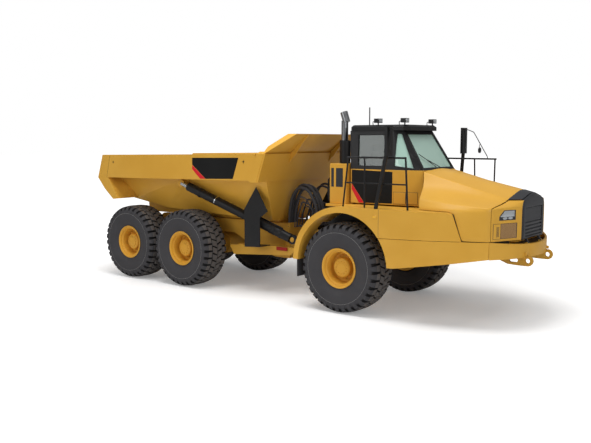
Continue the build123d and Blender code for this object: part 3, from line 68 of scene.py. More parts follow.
def placed(name, data, place=(0, 0, 0), sight=None):
    """Puts a new object into the scene at a place, its -Z axis along a line of sight and its Y axis up."""
    made = bpy.data.objects.new(name, data)
    bpy.context.scene.collection.objects.link(made)
    made.location = place
    if sight:
        made.rotation_mode = "QUATERNION"
        made.rotation_quaternion = sight.to_track_quat("-Z", "Y")
    return made


lens = bpy.data.cameras.new("view")
lens.sensor_width, lens.lens, lens.clip_end = 36.0, 45.18, 400.0
flat = math.cos(VIEW_DIP)
sight = Vector((-math.sin(VIEW_TURN) * flat, math.cos(VIEW_TURN) * flat, -math.sin(VIEW_DIP)))
bpy.context.scene.camera = placed("view", lens, (8.571 + FRONT_AXLE, -14.06, 3.557), sight)
bpy.context.scene.view_settings.view_transform = "Standard"


# The studio: a white sweep of matt paper with broad soft boxes overhead and at the camera's side.
# The paper takes the truck's soft shadow and is otherwise as white as the room.
def srgb(code):
    """A hex colour as linear red, green, blue, 1: each part p becomes ((p + 0.055) / 1.055) ** 2.4."""
    parts = np.array([int(code[i : i + 2], 16) for i in (0, 2, 4)]) / 255.0
    line = np.where(parts <= 0.04045, parts / 12.92, ((parts + 0.055) / 1.055) ** 2.4)
    return (*[float(p) for p in line], 1.0)


def add_node(tree, kind, links=None, **settings):
    """Adds a node; links maps a socket's name or number to a value, or to what feeds it: an output socket, a node
    for its first output, or "Object" or "UV" for those coordinates."""
    made = tree.nodes.new("ShaderNode" + kind)
    for name, value in settings.items():
        setattr(made, name, value)
    for key, value in (links or {}).items():
        if value in ("Object", "UV"):
            place = tree.nodes.get("Texture Coordinate") or tree.nodes.new("ShaderNodeTexCoord")
            value = place.outputs[value]
        value = value.outputs[0] if isinstance(value, bpy.types.Node) else value
        if isinstance(value, bpy.types.NodeSocket):
            tree.links.new(value, made.inputs[key])
        else:
            made.inputs[key].default_value = value
    return made


def new_material(name):
    """An empty node material and its tree."""
    made = bpy.data.materials.new(name)
    made.use_nodes = True
    made.node_tree.nodes.clear()
    return made, made.node_tree


world = bpy.data.worlds.new("white room")
bpy.context.scene.world = world
world.use_nodes = True
world.node_tree.nodes.clear()
room = world.node_tree
rays = add_node(room, "LightPath")
direct = {0: rays.outputs["Is Camera Ray"], 1: rays.outputs["Is Transmission Ray"]}
seen = add_node(room, "Math", direct, operation="MAXIMUM")
fill = add_node(room, "Background", {"Color": (1, 1, 1, 1), "Strength": 0.34})
white = add_node(room, "Background", {"Color": (1, 1, 1, 1), "Strength": 1.0})
both = add_node(room, "MixShader", {0: seen, 1: fill, 2: white})
add_node(room, "OutputWorld", {0: both})

paper, tree = new_material("matt_paper")
matt = add_node(tree, "BsdfDiffuse", {"Color": srgb("F4F4F4")})
rays = add_node(tree, "LightPath")
reach = add_node(tree, "VectorMath", {0: "Object"}, operation="LENGTH")
spread = {"From Min": 4.5, "From Max": 9.0, "To Min": 0.19, "To Max": 0.85}
away = add_node(tree, "MapRange", {"Value": reach.outputs["Value"], **spread})
lift = add_node(tree, "Math", {0: rays.outputs["Is Camera Ray"], 1: away}, operation="MULTIPLY")
glow = add_node(tree, "Emission", {"Color": (1, 1, 1, 1), "Strength": lift})
both = add_node(tree, "AddShader", {0: matt, 1: glow})
add_node(tree, "OutputMaterial", {0: both})
floor_mesh = bpy.data.meshes.new("floor")
floor_mesh.from_pydata([(-150, -150, 0), (150, -150, 0), (150, 150, 0), (-150, 150, 0)], [], [(0, 1, 2, 3)])
floor_mesh.materials.append(paper)
placed("floor", floor_mesh)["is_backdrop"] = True

for name, place, aim, size, power in (
    ("softbox_over", (1.0, -3.0, 13.0), (0, 0, 0), 10.0, 1290.0),
    ("softbox_front", (15.0, -7.0, 6.0), (2, 0, 1.5), 5.0, 400.0),
    ("softbox_side", (-4.0, -15.0, 7.0), (-2, 0, 1.5), 7.0, 360.0),
):
    data = bpy.data.lights.new(name, "AREA")
    data.shape, data.size, data.size_y, data.energy = "RECTANGLE", size, size * 0.7, power
    placed(name, data, place, Vector(aim) - Vector(place))


# Tyres: radial off-road tyres of natural rubber and carbon black, moulded, 1.875 m across. A tread
# of staggered bricks with heavy shoulder lugs runs round each, and fine rings run round its sides.
TYRE_R, TRACK = 0.9375, 1.345
AXLES = {"front": 0.0, "mid": -4.657, "rear": -6.6}
HANDS = {"right": -1, "left": 1}
WHEELS = [(f"{axle}_{hand}", AXLES[axle], HANDS[hand]) for axle in AXLES for hand in HANDS]
PITCHES = 34  # tread bricks round the tyre


def surface(name, points, faces, material, uv=None, smooth=True):
    """Puts a mesh of points (n, 3) and quads or triangles into the scene, with one material."""
    mesh = bpy.data.meshes.new(name)
    mesh.from_pydata(np.asarray(points, float), [], [tuple(face) for face in faces])
    if uv is not None:
        layer = mesh.uv_layers.new(name="turn")
        loops = np.empty(len(mesh.loops), int)
        mesh.loops.foreach_get("vertex_index", loops)
        layer.uv.foreach_set("vector", np.asarray(uv, np.float32)[loops].ravel())
    mesh.polygons.foreach_set("use_smooth", np.full(len(mesh.polygons), smooth))
    mesh.materials.append(material)
    mesh.update()
    return placed(name, mesh)


def joined(shapes):
    """Shapes of points and faces as one: each face's numbers are moved on by the points before it."""
    points, faces = [], []
    for shape in shapes:
        start = sum(map(len, points))
        points.append(shape[0])
        faces.extend([tuple(start + i for i in f) for f in shape[1]])
    return np.vstack(points), faces


def grid_faces(rows, columns, close_rows=False, close_columns=False, start=0):
    """Quads of a grid of points numbered row by row; a closed way joins its last line to its first."""
    r = np.arange(rows if close_rows else rows - 1)[:, None]
    c = np.arange(columns if close_columns else columns - 1)[None, :]
    r1, c1 = (r + 1) % rows, (c + 1) % columns
    quads = np.stack([r * columns + c, r1 * columns + c, r1 * columns + c1, r * columns + c1], -1)
    return quads.reshape(-1, 4) + start


def carried(made, body, *stands_for, slot=None):
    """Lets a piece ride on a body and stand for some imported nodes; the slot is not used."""
    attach(made, body)
    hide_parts(*stands_for)
    return made


def edged(made, width, angle, crisp, **settings):
    """Rounds the edges that turn by more than an angle, and keeps those past another crisp in the shading."""
    if width:
        round_off = made.modifiers.new("rounded edge", "BEVEL")
        round_off.width, round_off.segments, round_off.limit_method = width, 2, "ANGLE"
        round_off.angle_limit = math.radians(angle)
        for name, value in settings.items():
            setattr(round_off, name, value)
    made.data.set_sharp_from_angle(angle=math.radians(crisp))


def rounded(profile, radius, steps=4):
    """A polyline whose inner corners are parabolas that leave and meet its runs radius away from the corner."""
    profile = np.asarray(profile, float)
    made = [profile[0]]
    for before, corner, after in zip(profile, profile[1:], profile[2:]):
        back, ahead = before - corner, after - corner
        cut = min(radius, 0.45 * np.linalg.norm(back), 0.45 * np.linalg.norm(ahead))
        a, b = corner + back / np.linalg.norm(back) * cut, corner + ahead / np.linalg.norm(ahead) * cut
        t = np.linspace(0, 1, steps + 1)[:, None]
        made.extend((1 - t) ** 2 * a + 2 * t * (1 - t) * corner + t**2 * b)
    made.append(profile[-1])
    return np.array(made)


def on_wheel(turn, out, radius, station, side):
    """Points on a wheel at angles, distances out and radii: x and z are radius times cosine and sine of the turn."""
    x, z = radius * np.cos(turn), radius * np.sin(turn)
    return np.column_stack([FRONT_AXLE + station + x, side * (TRACK + out), TYRE_R + z])


def turned(profile, station, side, steps):
    """A profile of (distance out, radius) carried round a wheel's axle by on_wheel."""
    turn = np.linspace(0, 2 * np.pi, steps, endpoint=False)
    points = on_wheel(np.repeat(turn, len(profile)), *np.tile(profile, (steps, 1)).T, station, side)
    faces = grid_faces(steps, len(profile), close_rows=True)
    return points, faces[:, ::-1] if side > 0 else faces


rubber, tree = new_material("moulded_rubber")  # carbon-black rubber: dull, in soft clouds of grey
cloud = add_node(tree, "TexNoise", {"Vector": "Object", "Scale": 2.2, "Detail": 6.0, "Roughness": 0.6})
tone = add_node(tree, "ValToRGB", {"Fac": cloud})
tone.color_ramp.elements[0].color, tone.color_ramp.elements[1].color = srgb("3A393C"), srgb("464547")
split = add_node(tree, "SeparateXYZ", {0: "UV"})  # X: depth into the tread; Y: radius
middle_lighter = add_node(tree, "Math", {0: split.outputs[1], 1: 0.896}, operation="GREATER_THAN")  # a lighter grey over the middle bricks and the crown
# Painted shade: the rubber darkens to near black towards the bricks' roots and over the groove floors, where shade
# falls between the bricks.
groove_shade = add_node(tree, "MapRange", {"Value": split.outputs[0], "From Min": 0.02, "From Max": 0.6})
line = add_node(tree, "Math", {0: split.outputs[1], 1: 0.742, 2: 0.0022}, operation="COMPARE")  # moulding line
for share, code in ((middle_lighter, "5C5856"), (groove_shade, "121112"), (line, "8C8A88")):
    tone = add_node(tree, "Mix", {0: share, 6: tone, 7: srgb(code)}, data_type="RGBA").outputs[2]
side = add_node(tree, "MapRange", {"Value": split.outputs[1], "From Min": 0.42, "From Max": 0.47})
fade = {"From Min": 0.78, "From Max": 0.82, "To Min": 1.0, "To Max": 0.0}
edge = add_node(tree, "MapRange", {"Value": split.outputs[1], **fade})
band = add_node(tree, "Math", {0: side, 1: edge}, operation="MULTIPLY")
ring = add_node(tree, "Math", {0: split.outputs[1], 1: 600.0}, operation="MULTIPLY")  # 10 mm moulded rings
ring = add_node(tree, "Math", {0: ring}, operation="SINE")
ring = add_node(tree, "Math", {0: ring, 1: band}, operation="MULTIPLY")
fine = add_node(tree, "TexNoise", {"Vector": "Object", "Scale": 90.0, "Detail": 3.0})
relief = add_node(tree, "Math", {0: ring, 1: 0.35, 2: fine}, operation="MULTIPLY_ADD")
bump = add_node(tree, "Bump", {"Strength": 0.35, "Distance": 0.004, "Height": relief})
dull = {"Roughness": 0.75, "Specular IOR Level": 0.2}
skin = add_node(tree, "BsdfPrincipled", {"Base Color": tone, "Normal": bump, **dull})
add_node(tree, "OutputMaterial", {0: skin})

SECTION = (  # distance out, radius
    (-0.3, 0.44), (-0.352, 0.56), (-0.371, 0.69), (-0.366, 0.815), (-0.322, 0.872), (-0.25, 0.89), (0.0, 0.8985),
    (0.25, 0.89), (0.322, 0.872), (0.366, 0.815), (0.371, 0.69), (0.352, 0.56), (0.3, 0.44), (0.296, 0.4),
)
CARCASS = rounded(SECTION, 0.05)


def crown(out_by):
    """Radius of the tread's top at a distance out: flat over the middle, falling to the shoulders."""
    return TYRE_R - 0.0005 - 0.028 * (abs(out_by) / 0.33) ** 2.6


def tread_pitch():
    """One pitch of the tread, as (angle, distance out, radius) points, faces and each point's depth, 1 at a root:
    two staggered middle bricks, and a lug over each shoulder."""
    step = 2 * math.pi / PITCHES
    parts, depth = [], []
    for side in (-1, 1):
        shift = 0.0 if side < 0 else 0.5 * step
        lean = 0.16 * step
        a, b = 0.1 * step, 0.92 * step
        # the middle brick: a four-cornered foot, drawn in a little towards its top, with a cut rim
        foot = [(a - lean, 0.008), (b - lean, 0.008), (b + lean, 0.15), (a + lean, 0.15)]
        foot = np.array([(t + shift, side * w) for t, w in foot])[::side]
        middle = foot.mean(0)
        rings = (1.0, 0.885), (0.96, crown(0.08) - 0.008), (0.888, crown(0.08))
        block = np.vstack([np.column_stack([middle + (foot - middle) * k, np.full(4, r)]) for k, r in rings])
        parts.append((block, grid_faces(3, 4, close_columns=True)[:, ::-1].tolist() + [(8, 9, 10, 11)]))
        depth += [1.0] * 4 + [0.0] * 8
        # the shoulder lug: a section that follows the tread out and turns down the side
        over = [(0.171, 0.885), (0.173, crown(0.173)), (0.29, crown(0.29))]
        down = [(0.352, 0.88), (0.3738, 0.812), (0.3745, 0.765), (0.362, 0.745)]
        line = rounded(over + down, 0.012, 2)
        n = len(line)
        half = 0.37 * step * (1 - 0.3 * np.clip((line[:, 0] - 0.25) / 0.12, 0, 1))
        root = np.column_stack([np.minimum(line[:, 0], 0.345), np.minimum(line[:, 1] - 0.03, 0.885)])
        block = np.vstack(
            [
                np.column_stack([turn * half + shift, side * rib[:, 0], rib[:, 1]])
                for turn, rib in ((-1.1, root), (-1, line), (1, line), (1.1, root))
            ]
        )
        quads = grid_faces(4, n)
        if side > 0:
            quads = quads[:, ::-1]
        ends = [(0, n, 2 * n, 3 * n), (n - 1, 4 * n - 1, 3 * n - 1, 2 * n - 1)]
        parts.append((block, quads.tolist() + (ends if side < 0 else [e[::-1] for e in ends])))
        depth += [1.0] * n + [0.0] * 2 * n + [1.0] * n
    return *joined(parts), depth


PITCH_POINTS, PITCH_FACES, PITCH_DEPTH = tread_pitch()


def tyre_mesh(station, side):
    """The carcass of revolution and the tread pitch repeated round it; uv is (depth into the tread, radius)."""
    shapes = [turned(CARCASS, station, side, 152)]
    turn, out_by, radius = PITCH_POINTS.T
    faces = [f[:: -1 if side > 0 else 1] for f in PITCH_FACES]
    for number in range(PITCHES):
        lugs = on_wheel(turn + number * 2 * math.pi / PITCHES, out_by, radius, station, side)
        shapes.append((lugs, faces))
    v = np.tile(CARCASS[:, 1], 152)
    # the carcass's uv marks its floor under the tread for the painted groove shade
    body = np.column_stack([np.clip((v - 0.82) / 0.04, 0, 1), v])
    crest = np.column_stack([PITCH_DEPTH, np.where(np.abs(out_by) < 0.28, 0.9, 0.85)])
    return *joined(shapes), np.vstack([body, np.tile(crest, (PITCHES, 1))])


for wheel, station, side in WHEELS:
    points, faces, uv = tyre_mesh(station, side)
    tread = surface(f"tread_{wheel}", points, faces, rubber, uv)
    edged(tread, 0, 0, 32)
    carried(tread, f"wheel_{wheel}", f"tyre_{wheel}", slot="tyre")


# Rims: rolled steel with a welded disc, painted with the truck. A rounded outer ring, a gutter, a deep
# well and a flat hub cover, which is bolted to the final drive.
def enamel(name, low, high, rough, grain=0.05, gloss=0.18):
    """Sprayed and baked paint: two near shades in soft clouds, orange peel of about 3 mm, a thin clear gloss."""
    made, tree = new_material(name)
    cloud = add_node(tree, "TexNoise", {"Vector": "Object", "Scale": 0.9, "Detail": 4.0})
    tone = add_node(tree, "ValToRGB", {"Fac": cloud})
    tone.color_ramp.elements[0].position, tone.color_ramp.elements[1].position = 0.35, 0.65
    tone.color_ramp.elements[0].color, tone.color_ramp.elements[1].color = srgb(low), srgb(high)
    peel = add_node(tree, "TexNoise", {"Vector": "Object", "Scale": 180.0, "Detail": 2.0})
    bump = add_node(tree, "Bump", {"Strength": grain, "Distance": 0.002, "Height": peel})
    dull = add_node(tree, "MapRange", {"Value": cloud, "To Min": rough - 0.05, "To Max": rough + 0.07})
    shine = {"Specular IOR Level": gloss, "Coat Weight": gloss / 4, "Coat Roughness": 0.2}
    skin = add_node(tree, "BsdfPrincipled", {"Base Color": tone, "Roughness": dull, "Normal": bump, **shine})
    add_node(tree, "OutputMaterial", {0: skin})
    return made


wheel_paint = enamel("wheel_enamel", "CF9832", "D8A03A", 0.42)
RIM_OUTLINE = (
    (0.2118, 0.0), (0.2118, 0.098), (0.205, 0.108), (0.205, 0.156), (0.196, 0.185), (0.178, 0.203),
    (0.04, 0.207), (0.03, 0.292), (0.045, 0.314), (0.235, 0.328), (0.262, 0.346), (0.268, 0.372),
    (0.286, 0.38), (0.3, 0.372), (0.316, 0.388), (0.321, 0.412), (0.311, 0.4195), (0.3, 0.4195),
    (0.2985, 0.3605), (-0.2985, 0.3605), (-0.3, 0.4185), (-0.317, 0.4185), (-0.317, 0.357), (-0.29, 0.336),
    (-0.03, 0.336), (0.0, 0.306), (0.0, 0.211), (-0.06, 0.211), (-0.06, 0.1503), (0.04, 0.1503), (0.04, 0.0),
)


def bolts(count, ring, height, radius, out, station, side):
    """Hexagon bolt heads on a ring: count prisms of six sides with a drawn-in top, facing outwards."""
    six = np.arange(6) * np.pi / 3
    hexagon = np.column_stack([np.cos(six), np.sin(six)])
    around = np.arange(count) * 2 * np.pi / count
    middle = ring * np.column_stack([np.cos(around), np.sin(around)])
    layers = []
    for lift, scale in ((-0.004, 1.0), (height * 0.8, 1.0), (height, 0.82)):
        flat = middle[:, None, :] + radius * scale * hexagon[None]
        layers.append(np.dstack([np.full(flat.shape[:2], lift), flat]))
    up, x, z = np.stack(layers, 1).reshape(-1, 3).T
    place = np.column_stack([FRONT_AXLE + station + x, side * (TRACK + out + up), TYRE_R + z])
    one = grid_faces(3, 6, close_columns=True)[:, ::-1].tolist() + [tuple(range(12, 18))]
    faces = [tuple(18 * n + i for i in (f[::-1] if side < 0 else f)) for n in range(count) for f in one]
    return place, faces


for wheel, station, side in WHEELS:
    rim = surface(f"wheel_{wheel}", *turned(rounded(RIM_OUTLINE, 0.009, 3), station, side, 96), wheel_paint)
    edged(rim, 0, 0, 50)
    carried(rim, f"wheel_{wheel}", f"rim_{wheel}")
    rings = (12, 0.132, 0.012, 0.012, 0.205), (20, 0.25, 0.014, 0.016, 0.035)
    heads = joined([bolts(*ring, station, side) for ring in rings])
    nuts = surface(f"wheel_bolts_{wheel}", *heads, wheel_paint, smooth=False)
    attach(nuts, f"wheel_{wheel}")


# Tractor panels: pressed and welded sheet steel, sprayed yellow, with rolled or ground edges. The
# fender, skirt, bumper and cab base each bolt to the frame behind them.
yellow_paint = enamel("yellow_enamel", "CF9B38", "D6A340", 0.38)


def outwards(mesh, weld=0.0, place=None):
    """Turns a closed mesh's faces outwards, after its points nearer than weld are made one. A mesh that is
    moved to its place by a matrix also has the triangles of its flat faces made one face."""
    work = bmesh.new()
    work.from_mesh(mesh)
    if place:
        work.transform(place)
    bmesh.ops.remove_doubles(work, verts=work.verts if weld else [], dist=weld)
    if place:
        flat = dict(angle_limit=math.radians(1.2), use_dissolve_boundaries=False, delimit={"NORMAL"})
        bmesh.ops.dissolve_limit(work, verts=work.verts, edges=work.edges, **flat)
    bmesh.ops.recalc_face_normals(work, faces=work.faces)
    work.to_mesh(mesh)
    work.free()


HOME = {node: body for body, members in frame["record"]["behaviour"]["bodies"].items() for node in members}


def finished(node, material, edge, second=None, where=None):
    """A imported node's own form with its loose triangles joined, its flat faces made whole, and its edges
    rounded by a bevel that keeps the flats. Faces whose middle meets where(x, y, z) take a second finish."""
    mesh = nodes[node].data.copy()
    mesh.name = f"{node}_finished"
    outwards(mesh, 0.00002, nodes[node].matrix_world)
    mesh.materials.clear()
    mesh.materials.append(material)
    chosen = np.zeros(len(mesh.polygons), np.int32)
    if second:
        mesh.materials.append(second)
        middle = np.empty(3 * len(mesh.polygons), np.float32)
        mesh.polygons.foreach_get("center", middle)
        chosen = where(*middle.reshape(-1, 3).T).astype(np.int32)
    mesh.polygons.foreach_set("material_index", chosen)
    mesh.polygons.foreach_set("use_smooth", np.ones(len(mesh.polygons), bool))
    made = placed(f"{node}_finished", mesh)
    edged(made, edge, 28, 34, miter_outer="MITER_ARC", harden_normals=True)
    carried(made, HOME[node], node)


for node, edge in (("skirts", 0.006), ("bumper", 0.014), ("cab_base", 0.012), ("fenders", 0.02)):
    finished(node, yellow_paint, edge)


# Chassis: welded plate frames, steer axle, tandem axles and their walking beams, and the cast hitch
# between the two frames, all sprayed in the same yellow over a rougher surface.
frame_paint = enamel("chassis_enamel", "C08F34", "CB9A3C", 0.5, 0.16)
for node, edge in (
    ("front_frame", 0.006), ("front_axle", 0.008), ("rear_frame", 0.006), ("rear_axles", 0.008),
    ("walking_beams", 0.012), ("hitch", 0.006), ("steer_barrel_right", 0.003), ("steer_barrel_left", 0.003),
):
    finished(node, frame_paint, edge)


# Hood and nose: one moulded skin that tips forward on the grille's hinges. A soft crest runs down its
# middle and a crease along each side, and the skin rolls in at the nose's corners.
HOOD_ROWS = np.array(  # station; crown, crease, hollow, shoulder, side and foot, as distance out and height
    [
        (1.42, 0, 2.975, 0.72, 2.92, 0.868, 2.69, 1.19, 2.43, 1.33, 2.24, 1.4, 1.7),
        (2.47, 0, 2.769, 0.708, 2.64, 0.935, 2.478, 1.4, 2.36, 1.508, 2.24, 1.52, 1.7),
        (3.1, 0, 2.645, 0.7, 2.47, 0.9, 2.386, 1.295, 2.31, 1.308, 2.24, 1.31, 1.7),
        (3.43, 0, 2.56, 0.53, 2.425, 0.536, 2.389, 0.545, 2.33, 0.556, 2.24, 0.56, 1.7),
    ]
)


def corner_weights(count, cuts, steps, fine):
    """Weights that turn a run of count control points into a smooth line: straight between corners, and at
    corner k a parabola that leaves and meets its two runs a share cuts[k] of their length away."""
    rows, last = [], np.eye(count)[0]
    unit = np.eye(count)
    for k in range(1, count - 1):
        a = unit[k] + cuts[k] * (unit[k - 1] - unit[k])
        b = unit[k] + cuts[k] * (unit[k + 1] - unit[k])
        rows.append(last[None] + np.linspace(0, 1, fine, endpoint=False)[:, None] * (a - last)[None])
        t = np.linspace(0, 1, steps, endpoint=False)[:, None]
        rows.append((1 - t) ** 2 * a + 2 * t * (1 - t) * unit[k] + t**2 * b)
        last = b
    rows.append(last[None] + np.linspace(0, 1, fine)[:, None] * (unit[-1] - last)[None])
    return np.vstack(rows)


def hood_line(stations):
    """The hood's cross sections at some stations, each a line of (distance out, height) with rounded corners: the
    rows above blend along the truck, and a section's control line has a parabola at each of its corners."""
    rows = corner_weights(4, (0, 0.5, 0.16, 0), 14, 12) @ HOOD_ROWS
    rows = np.column_stack([np.interp(stations, rows[:, 0], rows[:, k]) for k in range(rows.shape[1])])
    half = rows[:, 1:].reshape(len(rows), 6, 2)
    control = np.concatenate([half[:, :0:-1], half], 1)
    control[:, :5, 0] *= -1
    across = corner_weights(11, (0, 0.3, 0.16, 0.45, 0.05, 0.34, 0.05, 0.45, 0.16, 0.3, 0), 8, 8)
    return np.einsum("tp,spc->stc", across, control)


def body_rings(low, high, foot):
    """The hood's form between two stations as rings of (x, y, z) from the left foot over the crown to the right.
    Each ring is a cross section that ends where it comes down to the height foot(station)."""
    keep = np.linspace(low, high, 90)
    made = []
    share = np.linspace(-1, 1, 121)
    for station, ring in zip(keep, hood_line(keep)):
        mid = len(ring) // 2
        level = foot(station)
        right, left = ring[mid:], ring[mid::-1]
        ends = [np.interp(-level, -side[:, 1], np.arange(len(side))) for side in (left, right)]
        t = mid + share * np.where(share < 0, *ends)
        y, z = [np.interp(t, np.arange(len(ring)), ring[:, k]) for k in (0, 1)]
        made.append(np.column_stack([np.full(len(t), station + FRONT_AXLE), y, z]))
    return np.array(made)


def between(table, rows, columns):
    """A table read at fractional rows and columns: the four entries round a place count by their nearness."""
    i = np.minimum(rows.astype(int), table.shape[0] - 2)
    j = np.minimum(columns.astype(int), table.shape[1] - 2)
    p, q = (rows - i)[..., None], (columns - j)[..., None]
    low, high = [(1 - q) * table[k, j] + q * table[k, j + 1] for k in (i, i + 1)]
    return (1 - p) * low + p * high


def trimmed(rings, rear, front):
    """Rings redrawn so that the sheet runs from the station rear(height) to the station front(height): each line
    along the sheet is read again at evenly spaced stations between its two ends."""
    stations = rings[:, 0, 0] - FRONT_AXLE
    low, high = rear(rings[0, :, 2]), front(rings[-1, :, 2])
    share = np.linspace(0, 1, len(rings))[:, None]
    place = np.interp(low + (high - low) * share, stations, np.arange(len(rings)))
    return between(rings, place, np.arange(rings.shape[1])[None])


def hood_foot(station):
    """Height of the hood's lower edge: level over the fender, down its slanted end, then level to the nose."""
    return float(np.interp(station, (2.334, 2.458, 2.628), (2.227, 2.19, 1.7035)))


def hung(made, wall, *stands_for):
    """Gives a sheet of the hood its wall, on the inner side, and its rolled rim."""
    sheet = made.modifiers.new("wall", "SOLIDIFY")
    sheet.thickness, sheet.offset = wall, -1.0
    edged(made, min(0.003, wall / 3), 50, 40)
    carried(made, "hood", *stands_for)


def over_fender(z):
    """Station of the hood's rear edge at a height: it leans forward from the windscreen to its foot."""
    return np.interp(z, (2.226, 2.92), (1.69, 1.421))


def nose_seam(z):
    """Station of the hood's front edge at a height: upright at the nose, then forward to the cap."""
    return np.interp(z, (2.312, 2.445), (3.099, 3.179))


hood_skin = trimmed(body_rings(1.421, 3.2, hood_foot), over_fender, nose_seam)
quads = grid_faces(*hood_skin.shape[:2])[:, ::-1]
hung(surface("hood_skin", hood_skin.reshape(-1, 3), quads, yellow_paint), 0.012, "hood_shell")


def flank(stations, heights, proud=0.0):
    """Points (x, y, z) on the hood's right side at stations and heights of any one shape, moved outwards."""
    grid, levels = np.linspace(3.0, 3.43, 90), np.linspace(1.7, 2.5, 81)
    halves = [line[len(line) // 2 :] for line in hood_line(grid)]
    table = np.array([np.interp(-levels, -half[:, 1], half[:, 0]) for half in halves])
    a, b = np.interp(stations, grid, np.arange(90)), np.interp(heights, levels, np.arange(81))
    out = between(table[..., None], a, b)[..., 0]
    return np.stack([FRONT_AXLE + stations, -(out + proud), heights], -1)


def mirrored(shape):
    """A shape and its mirror image across the truck's middle plane."""
    return [shape, (shape[0] * (1, -1, 1), [f[::-1] for f in shape[1]])]


def both_sides(name, points, material, wall, *stands_for):
    """A sheet on the right side, given as a grid of points, and its mirror image on the left, as one piece."""
    right = points.reshape(-1, 3), grid_faces(*points.shape[:2])
    hung(surface(name, *joined(mirrored(right)), material), wall, *stands_for)


def side_sheet(name, low, high, rear, front, proud, material, wall, *stands_for, rows=24, columns=24):
    """A sheet on both sides of the nose, proud of the hood's form, as a grid evenly spaced between its four edges.
    rear and front are stations or functions of height, and high is a height."""
    down, across = np.linspace(1, 0, rows)[:, None], np.linspace(0, 1, columns)[None, :]
    z = low + (high - low) * down + 0 * across
    start, end = [edge(z) if callable(edge) else edge + 0 * z for edge in (rear, front)]
    both_sides(name, flank(start + (end - start) * across, z, proud), material, wall, *stands_for)


nose_rear = lambda z: np.interp(z, (2.305, 2.439), (3.1065, 3.2))
size = dict(rows=60, columns=40)
side_sheet("nose_skin", 1.7035, 2.438, nose_rear, 3.418, 0, yellow_paint, 0.012, "nose_panel", **size)

# Headlamps: a clear moulded lens over a black bowl with two chromed reflectors, held in the nose by a
# dark gasket. The lens comes to a point at its upper outer corner.
LAMP_LOW, LAMP_TOP = 2.1, 2.265
lamp_rear = lambda z: np.interp(z, (2.165, 2.275), (3.205, 3.25))  # station of the lens's slanted rear end
# This black also paints shade: the shelf under the nose and the slots in the nose doors.
moulding_black_and_shade = enamel("black_moulding_and_shade", "28292C", "303135", 0.42, gloss=0.3)
gasket_rear = lambda z: lamp_rear(z) - 0.014
side_sheet("headlamp_gaskets", LAMP_LOW - 0.012, LAMP_TOP + 0.012, gasket_rear, 3.355, 0.003, moulding_black_and_shade, 0.006)
lens, tree = new_material("clear_lens")
cast = add_node(tree, "BsdfPrincipled", {"Base Color": srgb("C4C9CD"), "Roughness": 0.1, "Metallic": 0.6})
add_node(tree, "OutputMaterial", {0: cast})
arch = np.sin(np.linspace(0, np.pi, 24)) ** 0.5
dome = 0.004 + 0.01 * arch[:, None] * arch
side_sheet("headlamps_clear", LAMP_LOW + 0.055, LAMP_TOP, lamp_rear, 3.343, dome, lens, 0.004, "headlamps")
for number, station in enumerate((3.25, 3.304)):
    turn = np.linspace(0, 2 * np.pi, 33)[None, :]
    radius = np.linspace(0.001, 0.023, 8)[:, None]
    hollow = 0.006 - 9.0 * (radius - 0.023) * radius
    bowl = flank(station + radius * np.cos(turn), 2.128 + radius * np.sin(turn), hollow)
    both_sides(f"headlamp_reflectors_{number}", bowl, lens, 0.003)

# Side screens: a black steel frame on each side of the nose, beside the radiator. It holds a sheet of
# perforated steel, and behind that a narrow yellow door with a row of nine slots.
mesh_paint, tree = new_material("perforated_steel")
split = add_node(tree, "SeparateXYZ", {0: "Object"})
rows = [add_node(tree, "Math", {0: split.outputs[k], 1: 523.6}, operation="MULTIPLY") for k in (1, 2)]
rows = [add_node(tree, "Math", {0: row}, operation="SINE") for row in rows]  # 12 mm holes
hole = add_node(tree, "Math", {0: rows[0], 1: rows[1]}, operation="MULTIPLY")
# Painted shade: the holes take a darker brown, for the shaded inside seen through them.
hole_shade = add_node(tree, "MapRange", {"Value": hole, "From Min": -0.2, "From Max": 0.3})
tone = add_node(tree, "Mix", {0: hole_shade, 6: srgb("A9824E"), 7: srgb("7A5C38")}, data_type="RGBA")
skin = add_node(tree, "BsdfPrincipled", {"Base Color": tone.outputs[2], "Roughness": 0.6})
add_node(tree, "OutputMaterial", {0: skin})
side_sheet("screen_frames", 1.748, 2.034, 3.132, 3.372, 0.004, moulding_black_and_shade, 0.006)
side_sheet("screen_meshes", 1.754, 2.028, 3.212, 3.366, 0.008, mesh_paint, 0.006)
side_sheet("screen_doors", 1.754, 2.028, 3.138, 3.208, 0.008, yellow_paint, 0.006)
# Painted shade: each slot is a black plate that stands for the shade inside it.
for number in range(9):
    low = 1.79 + 0.021 * number
    side_sheet(f"screen_slot_shades_{number}", low, low + 0.011, 3.168, 3.196, 0.01, moulding_black_and_shade, 0.003, rows=3, columns=3)

# Cap and surround: one black moulding that rolls from the hood over the nose's edge and frames the
# grille, with a flat panel above four wide slats. It carries the hood's two hinge lugs at its foot.
CAP_PROUD, ROLL = 0.01, 0.045
rings = body_rings(3.14, 3.43, lambda station: 2.445)
front_row = np.argmin(np.abs(rings[:, 0, 0] - FRONT_AXLE - 3.386))
start_row = np.argmin(np.abs(rings[:, 0, 0] - FRONT_AXLE - 3.182))
outer = rings[start_row : front_row + 1].copy()
centre = np.array([0.0, 2.02])
away = outer[:, :, 1:] - centre
away /= np.linalg.norm(away, axis=2)[..., None]
lip = np.clip(np.arange(len(outer)) / 6.0, 0, 1)[:, None, None] ** 0.5
outer[:, :, 1:] += away * CAP_PROUD * lip
hung(surface("nose_cap", outer.reshape(-1, 3), grid_faces(*outer.shape[:2])[:, ::-1], moulding_black_and_shade), 0.01)


